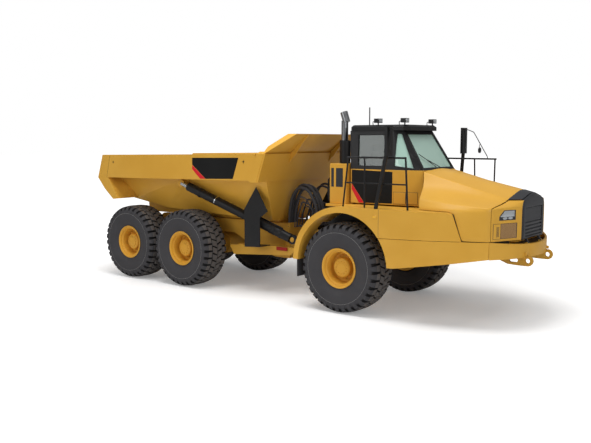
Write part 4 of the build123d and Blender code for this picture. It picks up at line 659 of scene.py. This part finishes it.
def loop_radius(corners, turn, rounding):
    """Distance from the surround's centre to a loop with rounded corners, at angles round it."""
    closed = np.vstack([(corners[-1] + corners[0]) / 2, corners, (corners[-1] + corners[0]) / 2])
    line = rounded(closed, rounding, 6) - centre
    run = np.concatenate([[0], np.cumsum(np.linalg.norm(np.diff(line, axis=0), axis=1))])
    along = np.linspace(0, run[-1], 800)
    line = np.column_stack([np.interp(along, run, line[:, 0]), np.interp(along, run, line[:, 1])])
    angle = np.unwrap(np.arctan2(line[:, 1], line[:, 0]))
    return np.interp(turn, angle, np.linalg.norm(line, axis=1), period=2 * np.pi)


right = np.array([(0.542, 1.684), (0.556, 2.335), (0.532, 2.436)])
outside = np.vstack([right, [(0.0, 2.572)], right[::-1] * (-1, 1)])
inside = np.array([(0.43, 1.742), (0.436, 2.292), (-0.436, 2.292), (-0.43, 1.742)])
turn = np.linspace(-np.pi / 2, 1.5 * np.pi, 192, endpoint=False)
r_out, r_in = loop_radius(outside, turn, 0.05), loop_radius(inside, turn, 0.035)
quarter = np.linspace(0, np.pi / 2, 7)
rise, fall = np.sin(quarter), 1 - np.cos(quarter)
stations = np.concatenate([[3.372], 3.386 + ROLL * rise, 3.386 + ROLL - 0.006 * fall, [3.395]])
reach = [r_out, *(r_out - ROLL * k for k in fall), *(r_in + 0.006 * (1 - k) for k in rise), r_in]
loop = np.column_stack([np.cos(turn), np.sin(turn)])
rim = [np.column_stack([np.full(192, x + FRONT_AXLE), centre + r[:, None] * loop]) for x, r in zip(stations, reach)]
quads = grid_faces(len(rim), 192, close_columns=True)[:, ::-1]
surround = surface("grille_surround", np.vstack(rim), quads, moulding_black_and_shade)
edged(surround, 0, 0, 50)
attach(surround, "hood")


def prism(outline, way, low, high):
    """A flat outline carried between two planes, as points and faces: its points are (station, height) for way y
    and (station, distance out) for z."""
    outline = np.asarray(outline, float)
    n = len(outline)
    ends = []
    for level in (low, high):
        x, b, c = outline[:, 0] + FRONT_AXLE, outline[:, 1], np.full(n, level)
        ends.append(np.column_stack([x, c, b] if way == "y" else [x, b, c]))
    sides = [(i, (i + 1) % n, n + (i + 1) % n, n + i) for i in range(n)]
    return np.vstack(ends), sides + [tuple(range(n))[::-1], tuple(range(n, 2 * n))]


def brick_of(stations, outs, heights):
    """A plain block between two stations, two distances out and two heights."""
    (a, b), (c, d) = stations, heights
    return prism([(a, c), (b, c), (b, d), (a, d)], "y", *outs)


def decal(outline, face, proud=0.002):
    """A thin plate on the right side's face, from 1 mm inside it to proud of it."""
    return prism(outline, "y", -face - proud, -face + 0.001)


def assembly(name, shapes, material, body, edge=0.0, *stands_for, angle=30):
    """Shapes joined as one piece, with their faces turned outwards and their edges rounded."""
    made = surface(name, *joined(shapes), material)
    outwards(made.data)
    edged(made, edge, angle, angle + 6)
    carried(made, body, *stands_for)


slats = [brick_of((3.392, 3.404), (-0.43, 0.43), (1.735, 2.3))]
slats.append(brick_of((3.4, 3.418), (-0.418, 0.418), (2.02, 2.284)))
for number in range(4):
    low = 1.752 + 0.068 * number
    slat = [(3.4, 0), (3.424, 0.004), (3.428, 0.04), (3.414, 0.052), (3.4, 0.052)]
    slats.append(prism([(x, low + z) for x, z in slat], "y", -0.424, 0.424))
assembly("grille_slats", slats, moulding_black_and_shade, "hood", 0.005)
lug = [(3.474, 1.6), (3.406, 1.6), (3.392, 1.685), (3.392, 1.745), (3.425, 1.7)]
boss = [(3.44 + 0.034 * math.cos(a), 1.6 + 0.034 * math.sin(a)) for a in np.arange(24) * math.pi / 12]
lugs = mirrored(prism(lug, "y", 0.3, 0.34)) + mirrored(prism(boss, "y", 0.2995, 0.3405))
assembly("hood_hinge_lugs", lugs, moulding_black_and_shade, "hood", 0.003, "grille")


# Painted shade: a flat black shelf between the bumper and the foot of the nose, put there for the shade that falls
# under the nose. It is carried by the frame, so it stays when the hood tips.
wide = np.linspace(-1.2, 1.2, 33)
shelf = np.column_stack([1.4724 + np.sqrt(2.06**2 - wide**2), wide])
shelf = np.vstack([[(3.06, -1.2)], shelf, [(3.06, 1.2)]])
assembly("shade_shelf", [prism(shelf, "z", 1.545, 1.552)], moulding_black_and_shade, "tractor")


# Dump body: a wedge-bottomed tub of wear plate with a boxed rail along each side, tail frames, a ribbed
# front wall and a spill guard that leans over the cab. It hinges on two pins behind the rear axle.
finished("dump_body", yellow_paint, 0.008)

# Name panels: a black vinyl panel with a red diagonal on each side rail, left bare, a seam where the tail plate is
# welded on, and two cross-shaped tie-down holes in each rail, drawn as black crosses of painted shade.
red_vinyl = enamel("red_vinyl", "C8202A", "D0262E", 0.35)
black_vinyl_and_shade = enamel("black_vinyl_and_shade", "121212", "171717", 0.4, gloss=0.15)
RAIL_FACE = 1.71
panel = [(-4.172, 2.985), (-4.175, 3.148), (-2.701, 3.169), (-2.877, 2.689), (-3.736, 2.664)]
stripe = [(-4.178, 2.88), (-4.174, 2.975), (-3.745, 2.664), (-3.919, 2.662)]
assembly("rail_panels", mirrored(decal(panel, RAIL_FACE)), black_vinyl_and_shade, "dump")
assembly("rail_stripes", mirrored(decal(stripe, RAIL_FACE, 0.0022)), red_vinyl, "dump")
marks = []
# Painted shade: the tie-down holes are black crosses on the rail's face that stand for the shade inside them.
for station, height in ((-7.105, 2.994), (-2.548, 3.083)):
    turn = np.arange(16) * np.pi / 8
    reach = np.where(np.arange(16) % 2 == 0, np.where(np.arange(16) % 4 == 0, 0.048, 0.03), 0.014)
    cross = np.column_stack([station + reach * np.cos(turn), height + reach * np.sin(turn)])
    marks += mirrored(decal(cross, RAIL_FACE))
seam = [(-7.234, 3.176), (-7.228, 3.176), (-7.383, 2.585), (-7.389, 2.585)]
marks += mirrored(decal(seam, RAIL_FACE, 0.0015))
assembly("rail_marks", marks, black_vinyl_and_shade, "dump")


# Black fittings: sprayed satin black steel. Guards over the hoists, the platform's edge, the cab's frame
# and roof, rails and mirror posts.
black_paint = enamel("satin_black_enamel", "1A1A1B", "212122", 0.42, gloss=0.2)
for node, edge in (
    ("hoist_guards", 0.004), ("cab_frame", 0.012), ("cab_roof", 0.018), ("air_cleaner", 0.008),
    ("handrails", 0.0), ("mirrors", 0.006), ("door_hinges", 0.003), ("work_lamps", 0.006),
    ("hoist_barrel_right", 0.004), ("hoist_barrel_left", 0.004),
):
    finished(node, black_paint, edge)
finished("platform", black_paint, 0.006, yellow_paint, lambda x, y, z: z > 2.139)
finished("cab_door", yellow_paint, 0.006, black_paint, lambda x, y, z: z > 2.951)

# Splash plates: a black steel sheet on each side that carries the platform's inner arch on to the rear,
# under the coolers. Each hangs from the platform.
arch_ends = mirrored(brick_of((-0.765, -0.449), (-0.95, -0.935), (1.72, 2.139)))
assembly("splash_ends", arch_ends, black_paint, "tractor", 0.003)

# Behind the cab: a yellow steel box over the coolers, with slots of black mesh down its sides and rear, and
# the black valve block and steel lines that feed the hitch. The box stands on the platform.
finished("cooling_pack", yellow_paint, 0.012)
slots = []
for low, high in ((-0.725, -0.655), (-0.6, -0.42)):
    slots += mirrored(brick_of((low, high), (-0.9022, -0.899), (2.56, 2.965)))
for y in (-0.66, -0.22, 0.22, 0.66):
    slots.append(brick_of((-0.7672, -0.764), (y - 0.17, y + 0.17), (2.3, 2.98)))
assembly("cooler_slots", slots, moulding_black_and_shade, "tractor")


def bent_tube(points, radius, sides=14, steps=10):
    """A tube along a line of points whose corners are rounded: a circle carried along the line, its frame turned
    from each run to the next by the least angle. Returns its points and faces, with closed ends."""
    line = np.array([(FRONT_AXLE + p[0], p[1], p[2]) for p in points], float)
    line = rounded(line, 0.45 * np.min(np.linalg.norm(np.diff(line, axis=0), axis=1)), steps)
    ahead = np.gradient(line, axis=0)
    ahead /= np.linalg.norm(ahead, axis=1)[:, None]
    across = np.zeros_like(line)
    across[0] = np.cross(ahead[0], (0.13, 0.97, 0.2))
    across[0] /= np.linalg.norm(across[0])
    for k in range(1, len(line)):
        turned_on = across[k - 1] - ahead[k] * np.dot(across[k - 1], ahead[k])
        across[k] = turned_on / np.linalg.norm(turned_on)
    other = np.cross(ahead, across)
    turn = np.arange(sides) * 2 * np.pi / sides
    round_it = np.cos(turn)[:, None] * across[:, None] + np.sin(turn)[:, None] * other[:, None]
    wall = line[:, None] + radius * round_it
    faces = grid_faces(len(line), sides, close_columns=True).tolist()
    last = (len(line) - 1) * sides
    return wall.reshape(-1, 3), faces + [tuple(range(sides))[::-1], tuple(range(last, last + sides))]


valve = (
    ((-0.93, -0.77), (-0.74, -0.42), (2.24, 2.56)),
    ((-0.9, -0.8), (-0.7, -0.46), (2.56, 2.64)),
    ((-0.87, -0.77), (-0.25, 0.45), (2.26, 2.48)),
)
assembly("valve_block", [brick_of(*size) for size in valve], black_paint, "tractor", 0.008)
lines = []
for number, y in enumerate((-0.7, -0.63, -0.56, -0.49)):
    high = 2.7 + 0.05 * (number % 2)
    way = [(-0.84, y, 2.6), (-0.86, y, high), (-0.96, y + 0.03, high + 0.02)]
    lines.append(bent_tube(way + [(-0.99, y + 0.05, 2.35), (-0.9, y + 0.1, 2.17)], 0.018))
for number, y in enumerate((-0.18, -0.08, 0.02, 0.12)):
    way = [(-0.84, y, 2.45), (-0.92, y, 2.5 + 0.03 * number), (-0.98, y, 2.3)]
    lines.append(bent_tube(way + [(-0.92, y + 0.03, 2.12), (-0.82, y + 0.05, 2.125)], 0.017))
assembly("front_lines", lines, black_paint, "tractor", angle=50)

# Hitch lines: rubber-sleeved steel lines of several sizes that arch over the hitch, all carried by the
# rear frame. The thick ones end in ferrules sprayed with the frame. The red bar locks the hitch.
arch = []
for y, lean, reach in (
    (-0.52, 0.0, 0.0), (-0.44, 0.03, 0.06), (-0.36, 0.05, -0.03),
    (-0.28, 0.02, 0.04), (0.3, 0.0, 0.0), (0.4, 0.03, 0.05),
):
    up = [(-2.19, y, 1.545), (-2.17, y, 1.95), (-2.07 + lean, y - 0.02, 2.3 + reach), (-1.85, y - 0.04, 2.5 + reach)]
    down = [(-1.6 + lean, y - 0.02, 2.42 + reach), (-1.42 + lean, y, 2.1), (-1.38 + lean, y + 0.02, 1.8 - reach)]
    arch.append(bent_tube(up + down, 0.034 if y < 0 else 0.026))
for y, high, near, thick in (
    (-0.58, 2.28, -1.47, 0.014), (-0.5, 2.15, -1.43, 0.018), (-0.4, 2.05, -1.4, 0.012), (-0.3, 2.2, -1.38, 0.016),
    (-0.22, 1.98, -1.36, 0.014), (-0.12, 2.12, -1.34, 0.018), (0.05, 2.02, -1.34, 0.014), (0.22, 2.1, -1.36, 0.016),
):
    up = [(-1.98, y, 1.55), (-1.97, y + 0.02, high - 0.35), (-1.8, y - 0.03, high)]
    down = [(near - 0.16, y - 0.02, high - 0.05), (near - 0.02, y + 0.03, high - 0.32)]
    down += [(near, y + 0.01, 1.66), (near - 0.1, y, 1.6)]
    arch.append(bent_tube(up + down, thick, 10, 6))
for y, low in ((-0.48, 1.7), (-0.34, 1.62), (-0.2, 1.66)):
    low_line = [(-1.4, y, 1.95), (-1.5, y, 1.62), (-1.78, y + 0.05, low - 0.1), (-2.05, y + 0.05, 1.555)]
    arch.append(bent_tube(low_line, 0.02))
assembly("hitch_lines", arch, rubber, "rear", angle=50)
ferrules = []
for y in (-0.52, -0.44, -0.36, -0.28, 0.3, 0.4):
    ferrules.append(bent_tube([(-2.191, y, 1.56), (-2.19, y, 1.6), (-2.189, y, 1.64)], 0.04))
assembly("hitch_ferrules", ferrules, frame_paint, "rear", angle=50)
finished("lock_bar", enamel("signal_red_enamel", "8E1A12", "A02318", 0.4), 0.004)


# Cylinder rods and exhaust: hard-chromed bar, ground round and polished, with a painted head on each
# hoist rod. The stack is chromed tube above a black guard.
def metal(name, code, rough):
    """Polished metal: one colour, roughness that drifts in soft clouds, and faint grinding lines 0.5 mm apart."""
    made, tree = new_material(name)
    cloud = add_node(tree, "TexNoise", {"Vector": "Object", "Scale": 7.0, "Detail": 4.0})
    dull = add_node(tree, "MapRange", {"Value": cloud, "To Min": rough * 0.6, "To Max": rough * 1.5})
    lines = add_node(tree, "TexNoise", {"Vector": "Object", "Scale": 400.0, "Detail": 1.0})
    bump = add_node(tree, "Bump", {"Strength": 0.03, "Distance": 0.001, "Height": lines})
    shine = {"Metallic": 1.0, "Roughness": dull, "Normal": bump}
    skin = add_node(tree, "BsdfPrincipled", {"Base Color": srgb(code), **shine})
    add_node(tree, "OutputMaterial", {0: skin})
    return made


def on_hoist(t, side=1):
    """The point t metres up a hoist: its lower pin's place plus t times its axis's direction."""
    return -1.72 - 0.9268 * t, side * (0.98 + 0.1307 * t), 1.325 + 0.352 * t


chrome = metal("hard_chrome", "AEB1B4", 0.2)
for hand in HANDS:
    finished(f"hoist_rod_{hand}", chrome, 0.004, frame_paint, lambda x, y, z: z > on_hoist(3.19)[2])
    finished(f"steer_rod_{hand}", chrome, 0.004)
chromed_tube = metal("chromed_tube", "8A8C8E", 0.34)
finished("exhaust_stack", chromed_tube, 0.004, black_paint, lambda x, y, z: z < 3.57)

# Hoist clamps: a bright steel band round each hoist's tube, and three black saddles near its lower end
# that hold an oil line against it.
for hand, side in HANDS.items():
    ring = lambda t, wide, radius: bent_tube([on_hoist(k, side) for k in (t - wide, t, t + wide)], radius, 28, 2)
    assembly(f"hoist_band_{hand}", [ring(2.254, 0.014, 0.109)], chrome, f"hoist_barrel_{hand}", angle=50)
    saddles = [ring(t, 0.028, 0.112) for t in (0.34, 0.52, 0.6)]
    line = [(x, y - side * 0.02, z + 0.125) for x, y, z in (on_hoist(t, side) for t in (0.3, 0.5, 0.95))]
    saddles.append(bent_tube(line, 0.016))
    assembly(f"hoist_saddles_{hand}", saddles, black_paint, f"hoist_barrel_{hand}", angle=50)


# Cab inside: a dash and a seat base of moulded grey trim on the cab's floor, and a slanted column that
# carries the black moulded steering wheel on three spokes.
trim = enamel("moulded_trim", "45474A", "4E5053", 0.6, 0.3)
SEAT_FLOOR = 2.2703
inside = [brick_of((-0.06, 0.42), (-0.2, 0.2), (SEAT_FLOOR, SEAT_FLOOR + 0.31))]
inside.append(brick_of((-0.1, 0.44), (-0.25, 0.25), (SEAT_FLOOR + 0.3, SEAT_FLOOR + 0.35)))
dash = [(1.1, SEAT_FLOOR), (1.1, 2.9), (1.2, 2.96), (1.33, 2.96), (1.33, SEAT_FLOOR)]
inside.append(prism(dash, "y", -0.56, 0.56))
inside.append(bent_tube([(1.13, 0, 2.72), (1.03, 0, 2.87), (0.94, 0, 3.02), (0.852, 0, 3.172)], 0.026))
assembly("dash_and_seat_base", inside, trim, "tractor", 0.012, "cab_interior")
turn = np.linspace(0, 2 * np.pi, 49)[:, None]
section = np.linspace(0, 2 * np.pi, 13)[None, :-1]
tilt = np.array([[0.866, 0, 0.5], [0, 1, 0], [-0.5, 0, 0.866]])
reach = 0.19 + 0.016 * np.cos(section)
ring = np.stack([reach * np.cos(turn), reach * np.sin(turn), 0.016 * np.sin(section) + 0 * turn], -1)
hub = np.array((0.85, 0, 3.175))
ring = ring[:-1] @ tilt.T + hub + (FRONT_AXLE, 0, 0)
wheel = [(ring.reshape(-1, 3), grid_faces(48, 12, close_rows=True, close_columns=True))]
for a in (0.5, 2.64, 4.71):
    run = ((0, 0), (0.09, -0.004), (0.19, 0))
    spoke = np.array([(r * math.cos(a), r * math.sin(a), dip) for r, dip in run]) @ tilt.T
    wheel.append(bent_tube(hub + spoke, 0.013))
assembly("steering_wheel", wheel, moulding_black_and_shade, "tractor", angle=50)


def cushion(middle, half, lean):
    """A stuffed cushion: a box of half sizes whose sides follow sign(cos) |cos| ** 0.32 of two angles, drawn a
    tenth fuller towards its middle, and leant back by lean per metre of height."""
    along, around = np.linspace(-np.pi / 2, np.pi / 2, 25)[:, None], np.linspace(-np.pi, np.pi, 49)[None, :-1]
    bend = lambda value: np.sign(value) * np.abs(value) ** 0.32
    x, y = [bend(np.cos(along)) * bend(way(around)) for way in (np.cos, np.sin)]
    z = bend(np.sin(along)) + 0 * around
    fuller = 1 + 0.1 * (1 - x**2) * (1 - y**2)
    shape = np.stack([half[0] * x, half[1] * y, half[2] * z * fuller], -1)
    shape[..., 0] += -lean * (shape[..., 2] + half[2])
    return shape.reshape(-1, 3) + (FRONT_AXLE + middle[0], middle[1], middle[2])


# Seat: three foam pads covered in dark woven cloth, for the seat, the back and the head, held by the
# trim's seat base.
cloth, tree = new_material("woven_seat_cloth")
yarns = {"Color1": srgb("2B2C2F"), "Color2": srgb("3A3B3F")}
weave = add_node(tree, "TexChecker", {"Vector": "Object", "Scale": 500.0, **yarns})  # 2 mm yarns
skin = add_node(tree, "BsdfPrincipled", {"Base Color": weave, "Roughness": 0.9, "Sheen Weight": 0.3})
add_node(tree, "OutputMaterial", {0: skin})
for name, middle, half, lean in (
    ("seat_cushion", (0.17, 0, SEAT_FLOOR + 0.415), (0.265, 0.265, 0.062), 0.0),
    ("seat_back", (-0.055, 0, SEAT_FLOOR + 0.76), (0.045, 0.245, 0.28), 0.12),
    ("seat_headrest", (-0.145, 0, SEAT_FLOOR + 1.13), (0.035, 0.13, 0.075), 0.0),
):
    pad = surface(name, cushion(middle, half, lean), grid_faces(25, 48, close_columns=True), cloth)
    outwards(pad.data, 0.0005)
    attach(pad, "tractor")


# Panes: laminated safety glass with a green tint, bonded behind the frame. The windscreen and the two
# panes beside it carry a pale sun film.
def tinted(name, code, film):
    """Clear tinted glass that mirrors by its Fresnel share, under a film that scatters a share of the light."""
    made, tree = new_material(name)
    clear = add_node(tree, "BsdfTransparent", {"Color": srgb(code)})
    pale = add_node(tree, "BsdfDiffuse", {"Color": srgb("D2F8EA")})
    body = add_node(tree, "MixShader", {0: film, 1: clear, 2: pale})
    shine = add_node(tree, "BsdfGlossy", {"Color": (1, 1, 1, 1), "Roughness": 0.03})
    edge = add_node(tree, "Fresnel", {"IOR": 1.52})
    both = add_node(tree, "MixShader", {0: edge, 1: body, 2: shine})
    add_node(tree, "OutputMaterial", {0: both})
    return made


side_glass, screen_glass = tinted("side_glass", "A4ADA9", 0.02), tinted("filmed_glass", "CDE6DC", 0.56)
finished("cab_windows", side_glass, 0.0, screen_glass, lambda x, y, z: x > FRONT_AXLE + 0.62)
finished("door_glass", side_glass, 0.0)

# Cab's right side: a black vinyl panel with a red diagonal, left bare, and two raised cover plates that
# are screwed on below the windscreen's corner.
CAB_SIDE = 0.82
panel = [(-0.244, 2.65), (0.071, 2.243), (0.752, 2.259), (0.754, 2.912), (-0.244, 2.937)]
stripe = [(-0.244, 2.52), (-0.06, 2.241), (0.066, 2.241), (-0.244, 2.642)]
assembly("cab_panel", [decal(panel, CAB_SIDE)], black_vinyl_and_shade, "tractor")
assembly("cab_stripe", [decal(stripe, CAB_SIDE, 0.0022)], red_vinyl, "tractor")
covers = []
for low, high in ((0.79, 1.05), (1.066, 1.3)):
    side_at = lambda s: -CAB_SIDE + 0.1961 * max(0.0, s - 0.9)
    line = [low, high] if high < 0.9 or low > 0.9 else [low, 0.9, high]
    plan = [(s, side_at(s) - 0.008) for s in line] + [(s, side_at(s) + 0.002) for s in line[::-1]]
    covers.append(prism(plan, "z", 2.262, 2.498))
assembly("cab_covers", covers, yellow_paint, "tractor", 0.003)
gaps = [(0.784, -0.8225), (0.9, -0.8225), (1.306, -0.7428), (1.306, -0.7386), (0.9, -0.818), (0.784, -0.818)]
assembly("cab_cover_gaskets", [prism(gaps, "z", 2.256, 2.504)], moulding_black_and_shade, "tractor")

# Fender side: on each side a thin joint down the panel, filled with black sealant, and an amber moulded
# marker lamp above the arch, let into the panel.
joints = mirrored(brick_of((0.977, 0.982), (-1.7188, -1.714), (1.664, 2.205)))
assembly("fender_joints", joints, moulding_black_and_shade, "tractor")
amber = enamel("amber_lens", "E2A92C", "EBB53A", 0.25, gloss=0.5)
markers = mirrored(brick_of((0.848, 0.934), (-1.73, -1.712), (2.04, 2.086)))
assembly("marker_lamps", markers, amber, "tractor", 0.005)

# Lamps: clear moulded faces on the roof's work lamps, each fed by a thin cable from the roof, and red
# moulded lenses on the tail.
red_lens = enamel("red_lens", "9A1414", "A81C1A", 0.25, gloss=0.5)
finished("tail_lamps", red_lens, 0.004)
faces, cables = [], []
for x, y in ((0.27, -0.61), (0.9, -0.6), (0.9, 0.6)):
    faces.append(brick_of((x + 0.058, x + 0.064), (y - 0.062, y + 0.062), (3.934, 3.998)))
    way = [(x - 0.056, y, 3.95), (x - 0.13, y, 3.95), (x - 0.15, y + 0.03, 3.9), (x - 0.16, y + 0.06, 3.874)]
    cables.append(bent_tube(way, 0.008))
assembly("work_lamp_faces", faces, lens, "tractor", 0.003)
assembly("work_lamp_cables", cables, black_paint, "tractor", angle=50)

# Mirrors: glass in black moulded shells on both posts; on the left a thin tube runs from the shell's top
# down to the handrail and carries a small round mirror.
silvered = metal("silvered_glass", "D8DCDE", 0.05)
backs = [brick_of((1.1185, 1.1215), (y - 0.095, y + 0.095), (3.285, 3.815)) for y in (-1.65, 1.65)]
assembly("mirror_faces", backs, silvered, "tractor")
stay = [(1.175, 1.56, 3.8), (1.26, 1.5, 3.812), (1.46, 1.49, 3.74), (1.8, 1.48, 3.2), (1.81, 1.48, 3.152)]
hoop = [bent_tube(stay, 0.009)]
hoop.append(bent_tube([(1.621, 1.487, 3.484), (1.6, 1.487, 3.41), (1.615, 1.487, 3.345)], 0.007))
hoop.append(bent_tube([(1.6, 1.487, 3.338), (1.612, 1.487, 3.338), (1.624, 1.487, 3.338)], 0.062, 24, 2))
assembly("mirror_hoop", hoop, black_paint, "tractor", angle=50)

# Wiper: a black steel arm and a rubber blade, parked low on the windscreen. The arm's spindle comes
# through the cab's frame below the pane.
pane = lambda y, z, off: (1.405 - 0.6235 * (z - 2.95) + off, y, z)
wiper = [bent_tube([pane(0.1, 2.975, 0.022), pane(-0.12, 3.06, 0.03), pane(-0.34, 3.16, 0.016)], 0.008)]
wiper.append(bent_tube([pane(-0.1, 3.005, 0.008), pane(-0.34, 3.16, 0.008), pane(-0.56, 3.28, 0.008)], 0.007))
assembly("wiper", wiper, moulding_black_and_shade, "tractor", angle=50)

# Under the hood and behind the front wheels: an engine of dark cast iron on the frame's rails, and two
# rubber flaps that hang from the skirts.
finished("engine_block", enamel("cast_iron", "4A4A48", "565653", 0.6, 0.3), 0.02)
finished("mudflaps", rubber, 0.004)


low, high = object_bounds()
